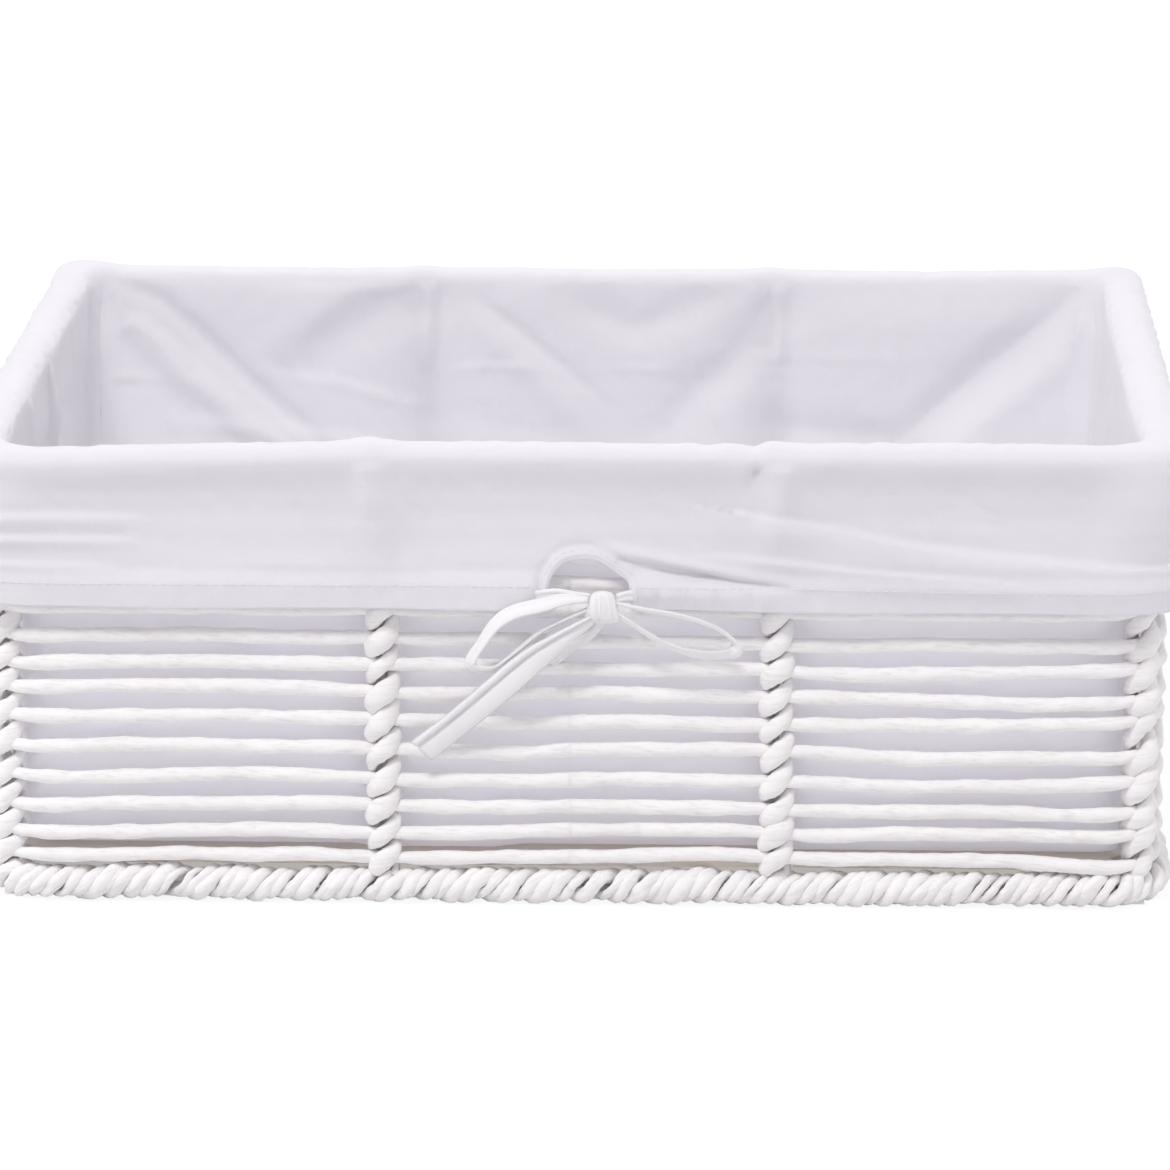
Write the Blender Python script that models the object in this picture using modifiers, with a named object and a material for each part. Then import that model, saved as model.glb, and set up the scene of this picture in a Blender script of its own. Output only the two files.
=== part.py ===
"""Rectangular storage basket of twisted paper cord on a wire frame, with a lift-out cotton liner.

The origin is on the floor under the middle of the basket: X runs along the front, Y to the back
and Z up. Each ring of the basket is a rounded rectangle, and its place is an offset from the
centreline of the cord rows, positive outwards.
"""

import math

import bmesh
import bpy
from mathutils import Matrix, Vector

# Size over the outside of the cord rows, the height over the liner, and the rows' corner radius
ROW_WIDTH = 0.378
ROW_DEPTH = 0.275
BASKET_HEIGHT = 0.1519
CORNER_RADIUS = 0.020
CORNER_RADIUS_MIN = 0.0010
CORNER_STEPS = 4

# Gap that neighbouring pieces keep, how far a cutter runs past what it cuts, and what counts as one point
CLEARANCE = 0.0003
OVERRUN = 0.002
WELD_DISTANCE = 0.00001

# Cord rows, counted from the bottom
CORD_RADIUS = 0.0023
ROW_COUNT = 14
GAP_UNDER_ROWS = 0.0017
GAP_OVER_ROWS = 0.00335

# Frame of round wire inside the wraps and borders
WIRE_RADIUS = 0.0012

# Wrapped border under the lowest row: its wall behind the wire, its reach outwards and its edges
BASE_BORDER_HEIGHT = 0.0110
BASE_BORDER_WALL = 0.0016
BASE_BORDER_OUT = 0.0055
BASE_BORDER_ROUND = 0.0022
BASE_WIRE_RISE = 0.0044

# Wrapped border on top of the highest row
RIM_BORDER_HEIGHT = 0.0127
RIM_BORDER_WALL = 0.0017
RIM_BORDER_OUT = 0.0052
RIM_BORDER_ROUND = 0.0030
RIM_WIRE_RISE = 0.0058

# Twined wrap of a post: half its width, its walls behind the wire and before the rows, and its waist
WRAP_HALF_WIDTH = 0.0053
WRAP_WALL_BEHIND = 0.0023
WRAP_WALL_BEFORE = 0.0026
WRAP_WAIST_SHARE = 0.86
WRAP_SIDES = 6

# Places of the posts that stand between the corners
LEFT_POST_X = -0.060
RIGHT_POST_X = 0.065
SIDE_POST_Y = 0.0

# Fibreboard that lies on the base border
BOARD_THICKNESS = 0.0025

# Cotton liner: cloth, its play round the frame, and the curve at the foot of its wall
CLOTH = 0.0006
LINER_EASE = 0.0001
SKIRT_EASE = 0.0006
SEAM_GAP = 0.00025
LINER_CURVE_HEIGHT = 0.0140
LINER_CURVE_WIDTH = 0.0118
LINER_CURVE_SHARES = ((1.0, 0.0), (0.55, 0.10), (0.18, 0.42), (0.0, 1.0))

# Skirt that folds over the rim, and the drawstring tape in its hem channel
SKIRT_DROP = 0.0536
TAPE_THICKNESS = 0.0006
TAPE_WIDTH = 0.0078
CHANNEL_ROOM = 0.0040
CHANNEL_FLARE_HEIGHT = 0.0040

# Knot of the bow, and the tape of its loops and tails
KNOT_X = 0.0100
KNOT_WIDTH = 0.0124
KNOT_DEPTH = 0.0060
KNOT_HEIGHT = 0.0092
KNOT_RISE = 0.0022
LOOP_TAPE_WIDTH = 0.0030
TAIL_TAPE_WIDTH = 0.0095
BOW_TAPE_THICKNESS = 0.0008
BOW_SPAN_STEPS = 2

# Arched mouth in the hem, where the drawstring comes out on both sides of the knot
ARCH_LEFT_ROOM = 0.0124
ARCH_RIGHT_ROOM = 0.0024
ARCH_HEIGHT = 0.0150
ARCH_STEPS = 20

# Free routes of the bow's tape from the middle of the knot: along the front, outwards and up
LEFT_LOOP_ROUTE = (
    (-0.0068, 0.0000, 0.0022), (-0.0122, 0.0012, 0.0020), (-0.0189, 0.0021, 0.0006),
    (-0.0275, 0.0021, -0.0016), (-0.0334, 0.0018, -0.0055), (-0.0382, 0.0010, -0.0124),
    (-0.0416, 0.0006, -0.0184), (-0.0392, 0.0006, -0.0206), (-0.0345, 0.0006, -0.0205),
    (-0.0302, 0.0006, -0.0172), (-0.0255, 0.0006, -0.0123), (-0.0180, 0.0004, -0.0064),
    (-0.0068, 0.0000, -0.0012),
)
RIGHT_LOOP_ROUTE = (
    (0.0068, 0.0010, 0.0012), (0.0134, 0.0021, -0.0006), (0.0217, 0.0021, -0.0020),
    (0.0300, 0.0018, -0.0042), (0.0370, 0.0010, -0.0074), (0.0418, 0.0006, -0.0116),
    (0.0410, 0.0006, -0.0148), (0.0342, 0.0006, -0.0157), (0.0284, 0.0006, -0.0151),
    (0.0220, 0.0004, -0.0132), (0.0148, 0.0002, -0.0094), (0.0068, 0.0000, -0.0024),
)
LONG_TAIL_ROUTE = (
    (-0.0046, 0.0032, -0.0058), (-0.0139, 0.0036, -0.0110), (-0.0222, 0.0034, -0.0172),
    (-0.0338, 0.0020, -0.0278), (-0.0455, -0.0010, -0.0386), (-0.0575, -0.0030, -0.0488),
)
SHORT_TAIL_ROUTE = (
    (0.0004, -0.0020, -0.0058), (-0.0046, -0.0024, -0.0106), (-0.0110, -0.0028, -0.0148),
    (-0.0165, -0.0030, -0.0198),
)

# Sizes worked out from those above
ROW_HALF_WIDTH = ROW_WIDTH / 2 - CORD_RADIUS
ROW_HALF_DEPTH = ROW_DEPTH / 2 - CORD_RADIUS
TUNNEL_REACH = CORD_RADIUS + CLEARANCE
FIRST_ROW_Z = BASE_BORDER_HEIGHT + GAP_UNDER_ROWS + CORD_RADIUS
RIM_HIGH_Z = BASKET_HEIGHT - CLEARANCE - CLOTH
RIM_LOW_Z = RIM_HIGH_Z - RIM_BORDER_HEIGHT
LAST_ROW_Z = RIM_LOW_Z - GAP_OVER_ROWS - CORD_RADIUS
ROW_PITCH = (LAST_ROW_Z - FIRST_ROW_Z) / (ROW_COUNT - 1)
BORE_REACH = WIRE_RADIUS + CLEARANCE
WIRE_IN = TUNNEL_REACH + WIRE_RADIUS
GROOVE_IN = WIRE_IN + BORE_REACH
GROOVE_OUT = WIRE_IN - BORE_REACH
BASE_WIRE_Z = BASE_WIRE_RISE + WIRE_RADIUS
BASE_BORDER_IN = GROOVE_IN + BASE_BORDER_WALL
RIM_WIRE_Z = RIM_LOW_Z + RIM_WIRE_RISE
RIM_BORDER_IN = GROOVE_IN + RIM_BORDER_WALL
WRAP_IN = GROOVE_IN + WRAP_WALL_BEHIND
WRAP_OUT = TUNNEL_REACH + WRAP_WALL_BEFORE
BOARD_LOW_Z = BASE_BORDER_HEIGHT + CLEARANCE
BOARD_HIGH_Z = BOARD_LOW_Z + BOARD_THICKNESS
LINER_FLOOR_Z = BOARD_HIGH_Z + CLEARANCE + CLOTH / 2
LINER_TOP_Z = RIM_HIGH_Z + CLEARANCE + CLOTH / 2
LINER_WALL_IN = max(RIM_BORDER_IN, WRAP_IN) + CLEARANCE + CLOTH / 2 + LINER_EASE
SKIRT_OUT = RIM_BORDER_OUT + CLEARANCE + CLOTH / 2 + SKIRT_EASE
HEM_LOW_Z = LINER_TOP_Z + CLOTH / 2 - SKIRT_DROP
HEM_BACK_OUT = max(RIM_BORDER_OUT, WRAP_OUT) + CLEARANCE + CLOTH
TAPE_OUT = HEM_BACK_OUT + CLOTH / 2 + CLEARANCE + TAPE_THICKNESS / 2
TAPE_LOW_Z = HEM_LOW_Z + CLOTH + 2 * CLEARANCE
HEM_FRONT_OUT = TAPE_OUT + TAPE_THICKNESS / 2 + CLEARANCE + CLOTH / 2
CHANNEL_HEIGHT = TAPE_WIDTH + CHANNEL_ROOM
KNOT_OUT = HEM_BACK_OUT + KNOT_DEPTH / 2
KNOT_Z = HEM_LOW_Z + KNOT_RISE
ARCH_HALF_WIDTH = (ARCH_LEFT_ROOM + KNOT_WIDTH + ARCH_RIGHT_ROOM) / 2
ARCH_X = KNOT_X + (ARCH_RIGHT_ROOM - ARCH_LEFT_ROOM) / 2

CORD_WHITE = (0.90, 0.89, 0.87, 1.0)
CLOTH_WHITE = (0.88, 0.88, 0.92, 1.0)
WIRE_WHITE = (0.80, 0.80, 0.80, 1.0)
BOARD_BROWN = (0.20, 0.12, 0.07, 1.0)


def clear_scene():
    for old in list(bpy.data.objects):
        bpy.data.objects.remove(old)


def new_collection(name):
    group = bpy.data.collections.new(name)
    bpy.context.scene.collection.children.link(group)
    return group


def new_material(name, color, roughness, metallic=0.0):
    material = bpy.data.materials.new(name)
    material.use_nodes = True
    shader = material.node_tree.nodes["Principled BSDF"]
    shader.inputs["Base Color"].default_value = color
    shader.inputs["Roughness"].default_value = roughness
    shader.inputs["Metallic"].default_value = metallic
    return material


def add_object(name, data, group, material=None):
    item = bpy.data.objects.new(name, data)
    group.objects.link(item)
    if material:
        data.materials.append(material)
    return item


def object_from_bmesh(name, bm, group, material=None):
    bmesh.ops.recalc_face_normals(bm, faces=bm.faces)
    mesh = bpy.data.meshes.new(name)
    bm.to_mesh(mesh)
    bm.free()
    return add_object(name, mesh, group, material)


def make_cutter(item):
    item.hide_render = True
    item.display_type = "WIRE"
    return item


def ring_points(offset, z):
    """Rounded rectangle round the basket, from the right-hand end of the back left round."""
    radius = max(CORNER_RADIUS + offset, CORNER_RADIUS_MIN)
    centre_x = ROW_HALF_WIDTH + offset - radius
    centre_y = ROW_HALF_DEPTH + offset - radius
    points = []
    for corner, (sign_x, sign_y) in enumerate(((1, 1), (-1, 1), (-1, -1), (1, -1))):
        for step in range(CORNER_STEPS + 1):
            angle = math.radians(90) * (corner + step / CORNER_STEPS)
            x = sign_x * centre_x + radius * math.cos(angle)
            y = sign_y * centre_y + radius * math.sin(angle)
            points.append(Vector((x, y, z)))
    return points


def add_ring(bm, section):
    """Closed ring round the basket whose section is a list of offsets and heights."""
    rings = []
    for offset, z in section:
        rings.append([bm.verts.new(point) for point in ring_points(offset, z)])
    for first, second in zip(rings, rings[1:] + rings[:1]):
        for k in range(len(first)):
            after = (k + 1) % len(first)
            bm.faces.new((first[k], first[after], second[after], second[k]))


def add_box(bm, place, angle, out_from, out_to, half_width, low_z, high_z):
    """Box at a post, from one offset to another, turned to face outwards."""
    size = Matrix.Diagonal((out_to - out_from, 2 * half_width, high_z - low_z, 1))
    middle = Vector(((out_from + out_to) / 2, 0, (low_z + high_z) / 2))
    turn = Matrix.Rotation(angle, 4, "Z")
    matrix = Matrix.Translation(place) @ turn @ Matrix.Translation(middle) @ size
    bmesh.ops.create_cube(bm, size=1, matrix=matrix)


def post_places():
    """Name, point on the row centreline and outward angle of each post."""
    front = -ROW_HALF_DEPTH
    back = ROW_HALF_DEPTH
    left = -ROW_HALF_WIDTH
    right = ROW_HALF_WIDTH
    places = [
        ("front_left", Vector((LEFT_POST_X, front, 0)), math.radians(-90)),
        ("front_right", Vector((RIGHT_POST_X, front, 0)), math.radians(-90)),
        ("back_left", Vector((LEFT_POST_X, back, 0)), math.radians(90)),
        ("back_right", Vector((RIGHT_POST_X, back, 0)), math.radians(90)),
        ("left_side", Vector((left, SIDE_POST_Y, 0)), math.radians(180)),
        ("right_side", Vector((right, SIDE_POST_Y, 0)), 0.0),
    ]
    corner_names = ("corner_back_right", "corner_back_left", "corner_front_left", "corner_front_right")
    row = ring_points(0, 0)
    for corner, name in enumerate(corner_names):
        middle = row[corner * (CORNER_STEPS + 1) + CORNER_STEPS // 2]
        places.append((name, middle, math.radians(45 + 90 * corner)))
    return places


def add_closed_tube(name, points, radius, group, material):
    """Closed curve with a round bevel, for a cord row or a wire ring."""
    curve = bpy.data.curves.new(name, "CURVE")
    curve.dimensions = "3D"
    curve.twist_mode = "Z_UP"
    curve.bevel_depth = radius
    curve.bevel_resolution = 1
    spline = curve.splines.new("POLY")
    spline.points.add(len(points) - 1)
    for point, place in zip(spline.points, points):
        point.co = (*place, 1)
    spline.use_cyclic_u = True
    return add_object(name, curve, group, material)


def row_height(row):
    return FIRST_ROW_Z + row * ROW_PITCH


def build_cord_rows(group, material):
    """One ring of twisted paper cord for each row."""
    for row in range(ROW_COUNT):
        points = ring_points(0, row_height(row))
        add_closed_tube(f"cord_row_{row + 1:02d}", points, CORD_RADIUS, group, material)


def build_base_border(group, material):
    """Wrapped border on the floor, with a groove open upwards for the bottom wire."""
    cut = BASE_BORDER_ROUND
    inner = -BASE_BORDER_IN
    outer = BASE_BORDER_OUT
    top = BASE_BORDER_HEIGHT
    groove_floor = BASE_WIRE_RISE - CLEARANCE
    section = (
        (inner, cut), (inner + cut / 2, 0), (outer - cut / 2, 0), (outer, cut),
        (outer, top - cut), (outer - cut, top), (-GROOVE_OUT, top), (-GROOVE_OUT, groove_floor),
        (-GROOVE_IN, groove_floor), (-GROOVE_IN, top), (inner, top - cut / 2),
    )
    bm = bmesh.new()
    add_ring(bm, section)
    object_from_bmesh("base_border", bm, group, material)


def build_rim_border(group, material):
    """Wrapped border on top, with a groove open downwards for the rim wire and the uprights."""
    cut = RIM_BORDER_ROUND
    inner = -RIM_BORDER_IN
    outer = RIM_BORDER_OUT
    low = RIM_LOW_Z
    top = RIM_HIGH_Z
    groove_roof = RIM_WIRE_Z + WIRE_RADIUS + CLEARANCE
    section = (
        (inner, low + cut / 4), (-GROOVE_IN, low), (-GROOVE_IN, groove_roof),
        (-GROOVE_OUT, groove_roof), (-GROOVE_OUT, low), (outer - cut, low), (outer, low + cut),
        (outer, top - cut), (outer - cut, top), (inner + cut, top), (inner, top - cut),
    )
    bm = bmesh.new()
    add_ring(bm, section)
    object_from_bmesh("rim_border", bm, group, material)


def build_ring_wire(name, z, group, material):
    """Round wire bent to a closed ring, lying in a border's groove."""
    add_closed_tube(name, ring_points(-WIRE_IN, z), WIRE_RADIUS, group, material)


def build_uprights(group, material):
    """Straight wires that stand between the bottom wire and the rim wire, just inside the rows."""
    low = BASE_WIRE_Z + WIRE_RADIUS + CLEARANCE
    high = RIM_WIRE_Z - WIRE_RADIUS - CLEARANCE
    for name, place, angle in post_places():
        outward = Vector((math.cos(angle), math.sin(angle), 0))
        foot = place - outward * WIRE_IN
        curve = bpy.data.curves.new(f"upright_{name}", "CURVE")
        curve.dimensions = "3D"
        curve.bevel_depth = WIRE_RADIUS
        curve.bevel_resolution = 1
        curve.use_fill_caps = True
        spline = curve.splines.new("POLY")
        spline.points.add(1)
        spline.points[0].co = (foot.x, foot.y, low, 1)
        spline.points[1].co = (foot.x, foot.y, high, 1)
        add_object(curve.name, curve, group, material)


def build_row_cutter(group):
    """Square tunnels that the rows pass through the wraps in."""
    inner = -TUNNEL_REACH
    outer = TUNNEL_REACH
    bm = bmesh.new()
    for row in range(ROW_COUNT):
        low = row_height(row) - TUNNEL_REACH
        high = row_height(row) + TUNNEL_REACH
        add_ring(bm, ((inner, low), (outer, low), (outer, high), (inner, high)))
    return make_cutter(object_from_bmesh("row_cutter", bm, group))


def build_wire_cutter(group):
    """Square bores in the wraps for the uprights."""
    bm = bmesh.new()
    for _, place, angle in post_places():
        add_box(bm, place, angle, -GROOVE_IN, -GROOVE_OUT, BORE_REACH, BASE_BORDER_HEIGHT, RIM_HIGH_Z)
    return make_cutter(object_from_bmesh("wire_cutter", bm, group))


def wrap_profile():
    """Radius and height down a twined wrap: it swells at each row and draws in between rows."""
    high = RIM_LOW_Z - CLEARANCE
    low = BASE_BORDER_HEIGHT + CLEARANCE
    waist = WRAP_HALF_WIDTH * WRAP_WAIST_SHARE
    profile = [(0.0, high), (waist, high)]
    for row in reversed(range(ROW_COUNT)):
        profile.append((WRAP_HALF_WIDTH, row_height(row)))
        if row:
            profile.append((waist, row_height(row) - ROW_PITCH / 2))
    return profile + [(waist, low), (0.0, low)]


def build_wraps(group, material, cutters):
    """Twined paper cord round each upright and each row, turned from the profile."""
    row_cutter = build_row_cutter(cutters)
    wire_cutter = build_wire_cutter(cutters)
    profile = wrap_profile()
    steps = range(len(profile) - 1)
    for name, place, angle in post_places():
        mesh = bpy.data.meshes.new(f"wrap_{name}")
        points = [(radius, 0, z) for radius, z in profile]
        mesh.from_pydata(points, [(k, k + 1) for k in steps], [])
        wrap = add_object(mesh.name, mesh, group, material)
        outward = Vector((math.cos(angle), math.sin(angle), 0))
        wrap.location = place + outward * (WRAP_OUT - WRAP_IN) / 2
        wrap.rotation_euler.z = angle
        wrap.scale.x = (WRAP_OUT + WRAP_IN) / 2 / WRAP_HALF_WIDTH
        screw = wrap.modifiers.new("turn", "SCREW")
        screw.steps = WRAP_SIDES
        screw.render_steps = WRAP_SIDES
        screw.use_merge_vertices = True
        screw.merge_threshold = WELD_DISTANCE
        for label, cutter in (("rows", row_cutter), ("upright", wire_cutter)):
            cut = wrap.modifiers.new(label, "BOOLEAN")
            cut.operation = "DIFFERENCE"
            cut.object = cutter


def add_plate(bm, offset, low_z, thickness):
    """Flat plate with the basket's outline at an offset."""
    face = bm.faces.new([bm.verts.new(point) for point in ring_points(offset, low_z)])
    grown = bmesh.ops.extrude_face_region(bm, geom=[face])
    moved = [item for item in grown["geom"] if isinstance(item, bmesh.types.BMVert)]
    bmesh.ops.translate(bm, verts=moved, vec=(0, 0, thickness))


def build_base_board(group, material, cutters):
    """Brown fibreboard that rests on the base border, notched round the posts."""
    plate = bmesh.new()
    add_plate(plate, -TUNNEL_REACH, BOARD_LOW_Z, BOARD_THICKNESS)
    board = object_from_bmesh("base_board", plate, group, material)
    notch_in = -(WRAP_IN + CLEARANCE)
    notch_half = WRAP_HALF_WIDTH + CLEARANCE
    low = BOARD_LOW_Z - OVERRUN
    high = BOARD_HIGH_Z + OVERRUN
    notches = bmesh.new()
    for _, place, angle in post_places():
        add_box(notches, place, angle, notch_in, CORNER_RADIUS, notch_half, low, high)
    cut = board.modifiers.new("notches", "BOOLEAN")
    cut.operation = "DIFFERENCE"
    cut.object = make_cutter(object_from_bmesh("notch_cutter", notches, cutters))


def liner_profile():
    """Middle of the cloth as offset and height: floor edge, wall, over the rim, skirt and hem."""
    wall = -LINER_WALL_IN
    shoulder = RIM_HIGH_Z - RIM_BORDER_ROUND
    foot = []
    for in_share, up_share in LINER_CURVE_SHARES:
        foot.append((wall - in_share * LINER_CURVE_WIDTH, LINER_FLOOR_Z + up_share * LINER_CURVE_HEIGHT))
    hem_turn = (HEM_FRONT_OUT - HEM_BACK_OUT) / 2
    hem_low = HEM_LOW_Z + CLOTH / 2
    channel_top = HEM_LOW_Z + CHANNEL_HEIGHT
    return foot + [
        (wall, shoulder),
        (wall + RIM_BORDER_ROUND, LINER_TOP_Z),
        (SKIRT_OUT - RIM_BORDER_ROUND, LINER_TOP_Z),
        (SKIRT_OUT, shoulder),
        (SKIRT_OUT, channel_top + CHANNEL_FLARE_HEIGHT),
        (HEM_FRONT_OUT, channel_top),
        (HEM_FRONT_OUT, hem_low + hem_turn),
        (HEM_FRONT_OUT - hem_turn, hem_low),
        (HEM_BACK_OUT, hem_low + hem_turn),
        (HEM_BACK_OUT, channel_top),
    ]


def side_points(offset, z, side):
    """Half a corner, a straight side and half a corner, drawn in from the seams at both ends."""
    ring = ring_points(offset, z)
    first = side * (CORNER_STEPS + 1) + CORNER_STEPS // 2
    last = first + CORNER_STEPS + 1
    points = [ring[k % len(ring)].copy() for k in range(first, last + 1)]
    for end, seam_angle in ((0, 135 + 90 * side), (-1, 45 + 90 * side)):
        along = math.radians(seam_angle)
        points[end] += Vector((math.cos(along), math.sin(along), 0)) * SEAM_GAP
    return points


def build_liner_panel(name, side, group, material):
    """One side of the liner with its skirt and hem channel, sewn to its neighbours on the seams."""
    bm = bmesh.new()
    rows = []
    for offset, z in liner_profile():
        rows.append([bm.verts.new(point) for point in side_points(offset, z, side)])
    for first, second in zip(rows, rows[1:]):
        for k in range(len(first) - 1):
            bm.faces.new((first[k], second[k], second[k + 1], first[k + 1]))
    panel = object_from_bmesh(name, bm, group, material)
    cloth = panel.modifiers.new("cloth", "SOLIDIFY")
    cloth.thickness = CLOTH
    cloth.offset = 0
    cloth.use_even_offset = True
    return panel


def build_arch_cutter(group):
    """Half-round mouth in the front hem, wide enough to leave the bow's knot free."""
    depth = HEM_FRONT_OUT - HEM_BACK_OUT + 2 * CLOTH
    middle = -(ROW_HALF_DEPTH + (HEM_FRONT_OUT + HEM_BACK_OUT) / 2)
    size = Matrix.Diagonal((ARCH_HALF_WIDTH, depth, ARCH_HEIGHT, 1))
    lying = size @ Matrix.Rotation(math.radians(90), 4, "X")
    bm = bmesh.new()
    bmesh.ops.create_cone(
        bm, cap_ends=True, segments=ARCH_STEPS, radius1=1, radius2=1, depth=1, matrix=lying
    )
    cutter = object_from_bmesh("arch_cutter", bm, group)
    cutter.location = (ARCH_X, middle, HEM_LOW_Z)
    return make_cutter(cutter)


def build_liner(group, material, cutters):
    """Four sewn sides and the floor of the cotton liner."""
    build_liner_panel("liner_back_panel", 0, group, material)
    build_liner_panel("liner_left_panel", 1, group, material)
    front = build_liner_panel("liner_front_panel", 2, group, material)
    build_liner_panel("liner_right_panel", 3, group, material)
    arch = front.modifiers.new("arch", "BOOLEAN")
    arch.operation = "DIFFERENCE"
    arch.object = build_arch_cutter(cutters)
    floor = bmesh.new()
    edge = -(LINER_WALL_IN + LINER_CURVE_WIDTH + 2 * SEAM_GAP)
    add_plate(floor, edge, LINER_FLOOR_Z - CLOTH / 2, CLOTH)
    object_from_bmesh("liner_bottom_panel", floor, group, material)


def object_from_strip(name, stations, group, material):
    """Flat tape through a list of stations, each a middle, half its width and half its thickness."""
    bm = bmesh.new()
    sections = []
    for middle, across, through in stations:
        one_face = [middle - across - through, middle + across - through]
        other_face = [middle + across + through, middle - across + through]
        sections.append([bm.verts.new(corner) for corner in one_face + other_face])
    for first, second in zip(sections, sections[1:]):
        for k in range(4):
            after = (k + 1) % 4
            bm.faces.new((first[k], first[after], second[after], second[k]))
    bm.faces.new(sections[0])
    bm.faces.new(sections[-1][::-1])
    object_from_bmesh(name, bm, group, material)


def build_drawstring(group, material):
    """Cotton tape that runs round inside the hem channel, from one side of the knot to the other."""
    z = TAPE_LOW_Z + TAPE_WIDTH / 2
    up = Vector((0, 0, TAPE_WIDTH / 2))
    ring = ring_points(TAPE_OUT, z)
    per_corner = CORNER_STEPS + 1
    route = ring[3 * per_corner:] + ring[:3 * per_corner]
    front = route[0].y
    half = KNOT_WIDTH / 2 + CLEARANCE
    route = [Vector((KNOT_X + half, front, z))] + route + [Vector((KNOT_X - half, front, z))]
    stations = []
    for k, point in enumerate(route):
        before = route[max(k - 1, 0)]
        after = route[min(k + 1, len(route) - 1)]
        through = (after - before).cross(up).normalized() * TAPE_THICKNESS / 2
        stations.append((point, up, through))
    object_from_strip("drawstring", stations, group, material)


def smooth_route(route):
    """Points on a smooth curve through a hand-chosen route, placed from the middle of the knot."""
    middle = Vector((KNOT_X, -(ROW_HALF_DEPTH + KNOT_OUT), KNOT_Z))
    fixed = [middle + Vector((x, -outward, z)) for x, outward, z in route]
    points = []
    for k in range(len(fixed) - 1):
        before = fixed[max(k - 1, 0)]
        start = fixed[k]
        end = fixed[k + 1]
        after = fixed[min(k + 2, len(fixed) - 1)]
        for step in range(BOW_SPAN_STEPS):
            t = step / BOW_SPAN_STEPS
            bend = (2 * before - 5 * start + 4 * end - after) * t
            twist = (3 * start - before - 3 * end + after) * t * t
            points.append(start + (end - before + bend + twist) * t / 2)
    return points + [fixed[-1]]


def build_bow_strip(name, route, width, facing, group, material):
    """Tape of the bow, either edge on to the front or facing it."""
    points = smooth_route(route)
    toward = Vector((0, -1, 0))
    stations = []
    for k, point in enumerate(points):
        run = (points[min(k + 1, len(points) - 1)] - points[max(k - 1, 0)]).normalized()
        sideways = run.cross(toward).normalized()
        across, through = (sideways, toward) if facing else (toward, sideways)
        stations.append((point, across * width / 2, through * BOW_TAPE_THICKNESS / 2))
    object_from_strip(name, stations, group, material)


def build_bow(group, material):
    """Knot, two loops and two tails of the drawstring's bow."""
    bm = bmesh.new()
    size = Matrix.Diagonal((KNOT_WIDTH, KNOT_DEPTH, KNOT_HEIGHT, 1))
    bmesh.ops.create_cube(bm, size=1, matrix=size)
    knot = object_from_bmesh("bow_knot", bm, group, material)
    knot.location = (KNOT_X, -(ROW_HALF_DEPTH + KNOT_OUT), KNOT_Z)
    rounded = knot.modifiers.new("rounded", "BEVEL")
    rounded.width = KNOT_DEPTH / 4
    rounded.segments = 2
    build_bow_strip("bow_left_loop", LEFT_LOOP_ROUTE, LOOP_TAPE_WIDTH, False, group, material)
    build_bow_strip("bow_right_loop", RIGHT_LOOP_ROUTE, LOOP_TAPE_WIDTH, False, group, material)
    build_bow_strip("bow_long_tail", LONG_TAIL_ROUTE, TAIL_TAPE_WIDTH, True, group, material)
    build_bow_strip("bow_short_tail", SHORT_TAIL_ROUTE, LOOP_TAPE_WIDTH, True, group, material)


clear_scene()
basket = new_collection("paper_storage_basket")
cutters = new_collection("cutters")
cord = new_material("paper_cord", CORD_WHITE, 0.75)
wire = new_material("frame_wire", WIRE_WHITE, 0.45, 0.6)
board = new_material("base_board", BOARD_BROWN, 0.85)
cotton = new_material("liner_cotton", CLOTH_WHITE, 0.9)
build_base_border(basket, cord)
build_ring_wire("base_frame_wire", BASE_WIRE_Z, basket, wire)
build_uprights(basket, wire)
build_base_board(basket, board, cutters)
build_cord_rows(basket, cord)
build_wraps(basket, cord, cutters)
build_ring_wire("rim_frame_wire", RIM_WIRE_Z, basket, wire)
build_rim_border(basket, cord)
build_liner(basket, cotton, cutters)
build_drawstring(basket, cotton)
build_bow(basket, cotton)
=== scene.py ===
"""Looks of a paper storage basket with a lift-out cotton liner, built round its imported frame."""
import math

import bpy
import numpy as np
from mathutils import Matrix, Vector


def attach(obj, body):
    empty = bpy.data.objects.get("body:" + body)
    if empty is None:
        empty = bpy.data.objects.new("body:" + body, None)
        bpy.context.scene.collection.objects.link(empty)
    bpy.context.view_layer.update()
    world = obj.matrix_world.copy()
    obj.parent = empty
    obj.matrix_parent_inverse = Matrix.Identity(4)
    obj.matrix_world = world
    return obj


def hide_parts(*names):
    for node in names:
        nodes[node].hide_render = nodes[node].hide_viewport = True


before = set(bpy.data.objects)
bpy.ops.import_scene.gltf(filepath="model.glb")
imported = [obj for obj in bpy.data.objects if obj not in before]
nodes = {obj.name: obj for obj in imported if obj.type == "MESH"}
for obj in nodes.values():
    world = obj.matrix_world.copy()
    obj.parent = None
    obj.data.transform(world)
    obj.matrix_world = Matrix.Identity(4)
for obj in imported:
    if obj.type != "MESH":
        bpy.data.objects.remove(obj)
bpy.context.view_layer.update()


# ---- Studio ----
# A pale seamless floor in an even surround, lit from high in front, from both sides and softly
# from behind. Under the basket it is dim, with a faint glow of painted bounce light that
# lights the lowest gaps. The camera stands far off and looks slightly down.
SURROUND_TINT, SURROUND_STRENGTH, WHITE = (1.0, 0.985, 0.995, 1), 0.61, (1, 1, 1, 1)
STUDIO_GREY, STUDIO_GLOW, STUDIO_HALF, STUDIO_Z = (0.83, 0.83, 0.84, 1), 1.06, 6, -0.0004
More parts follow.
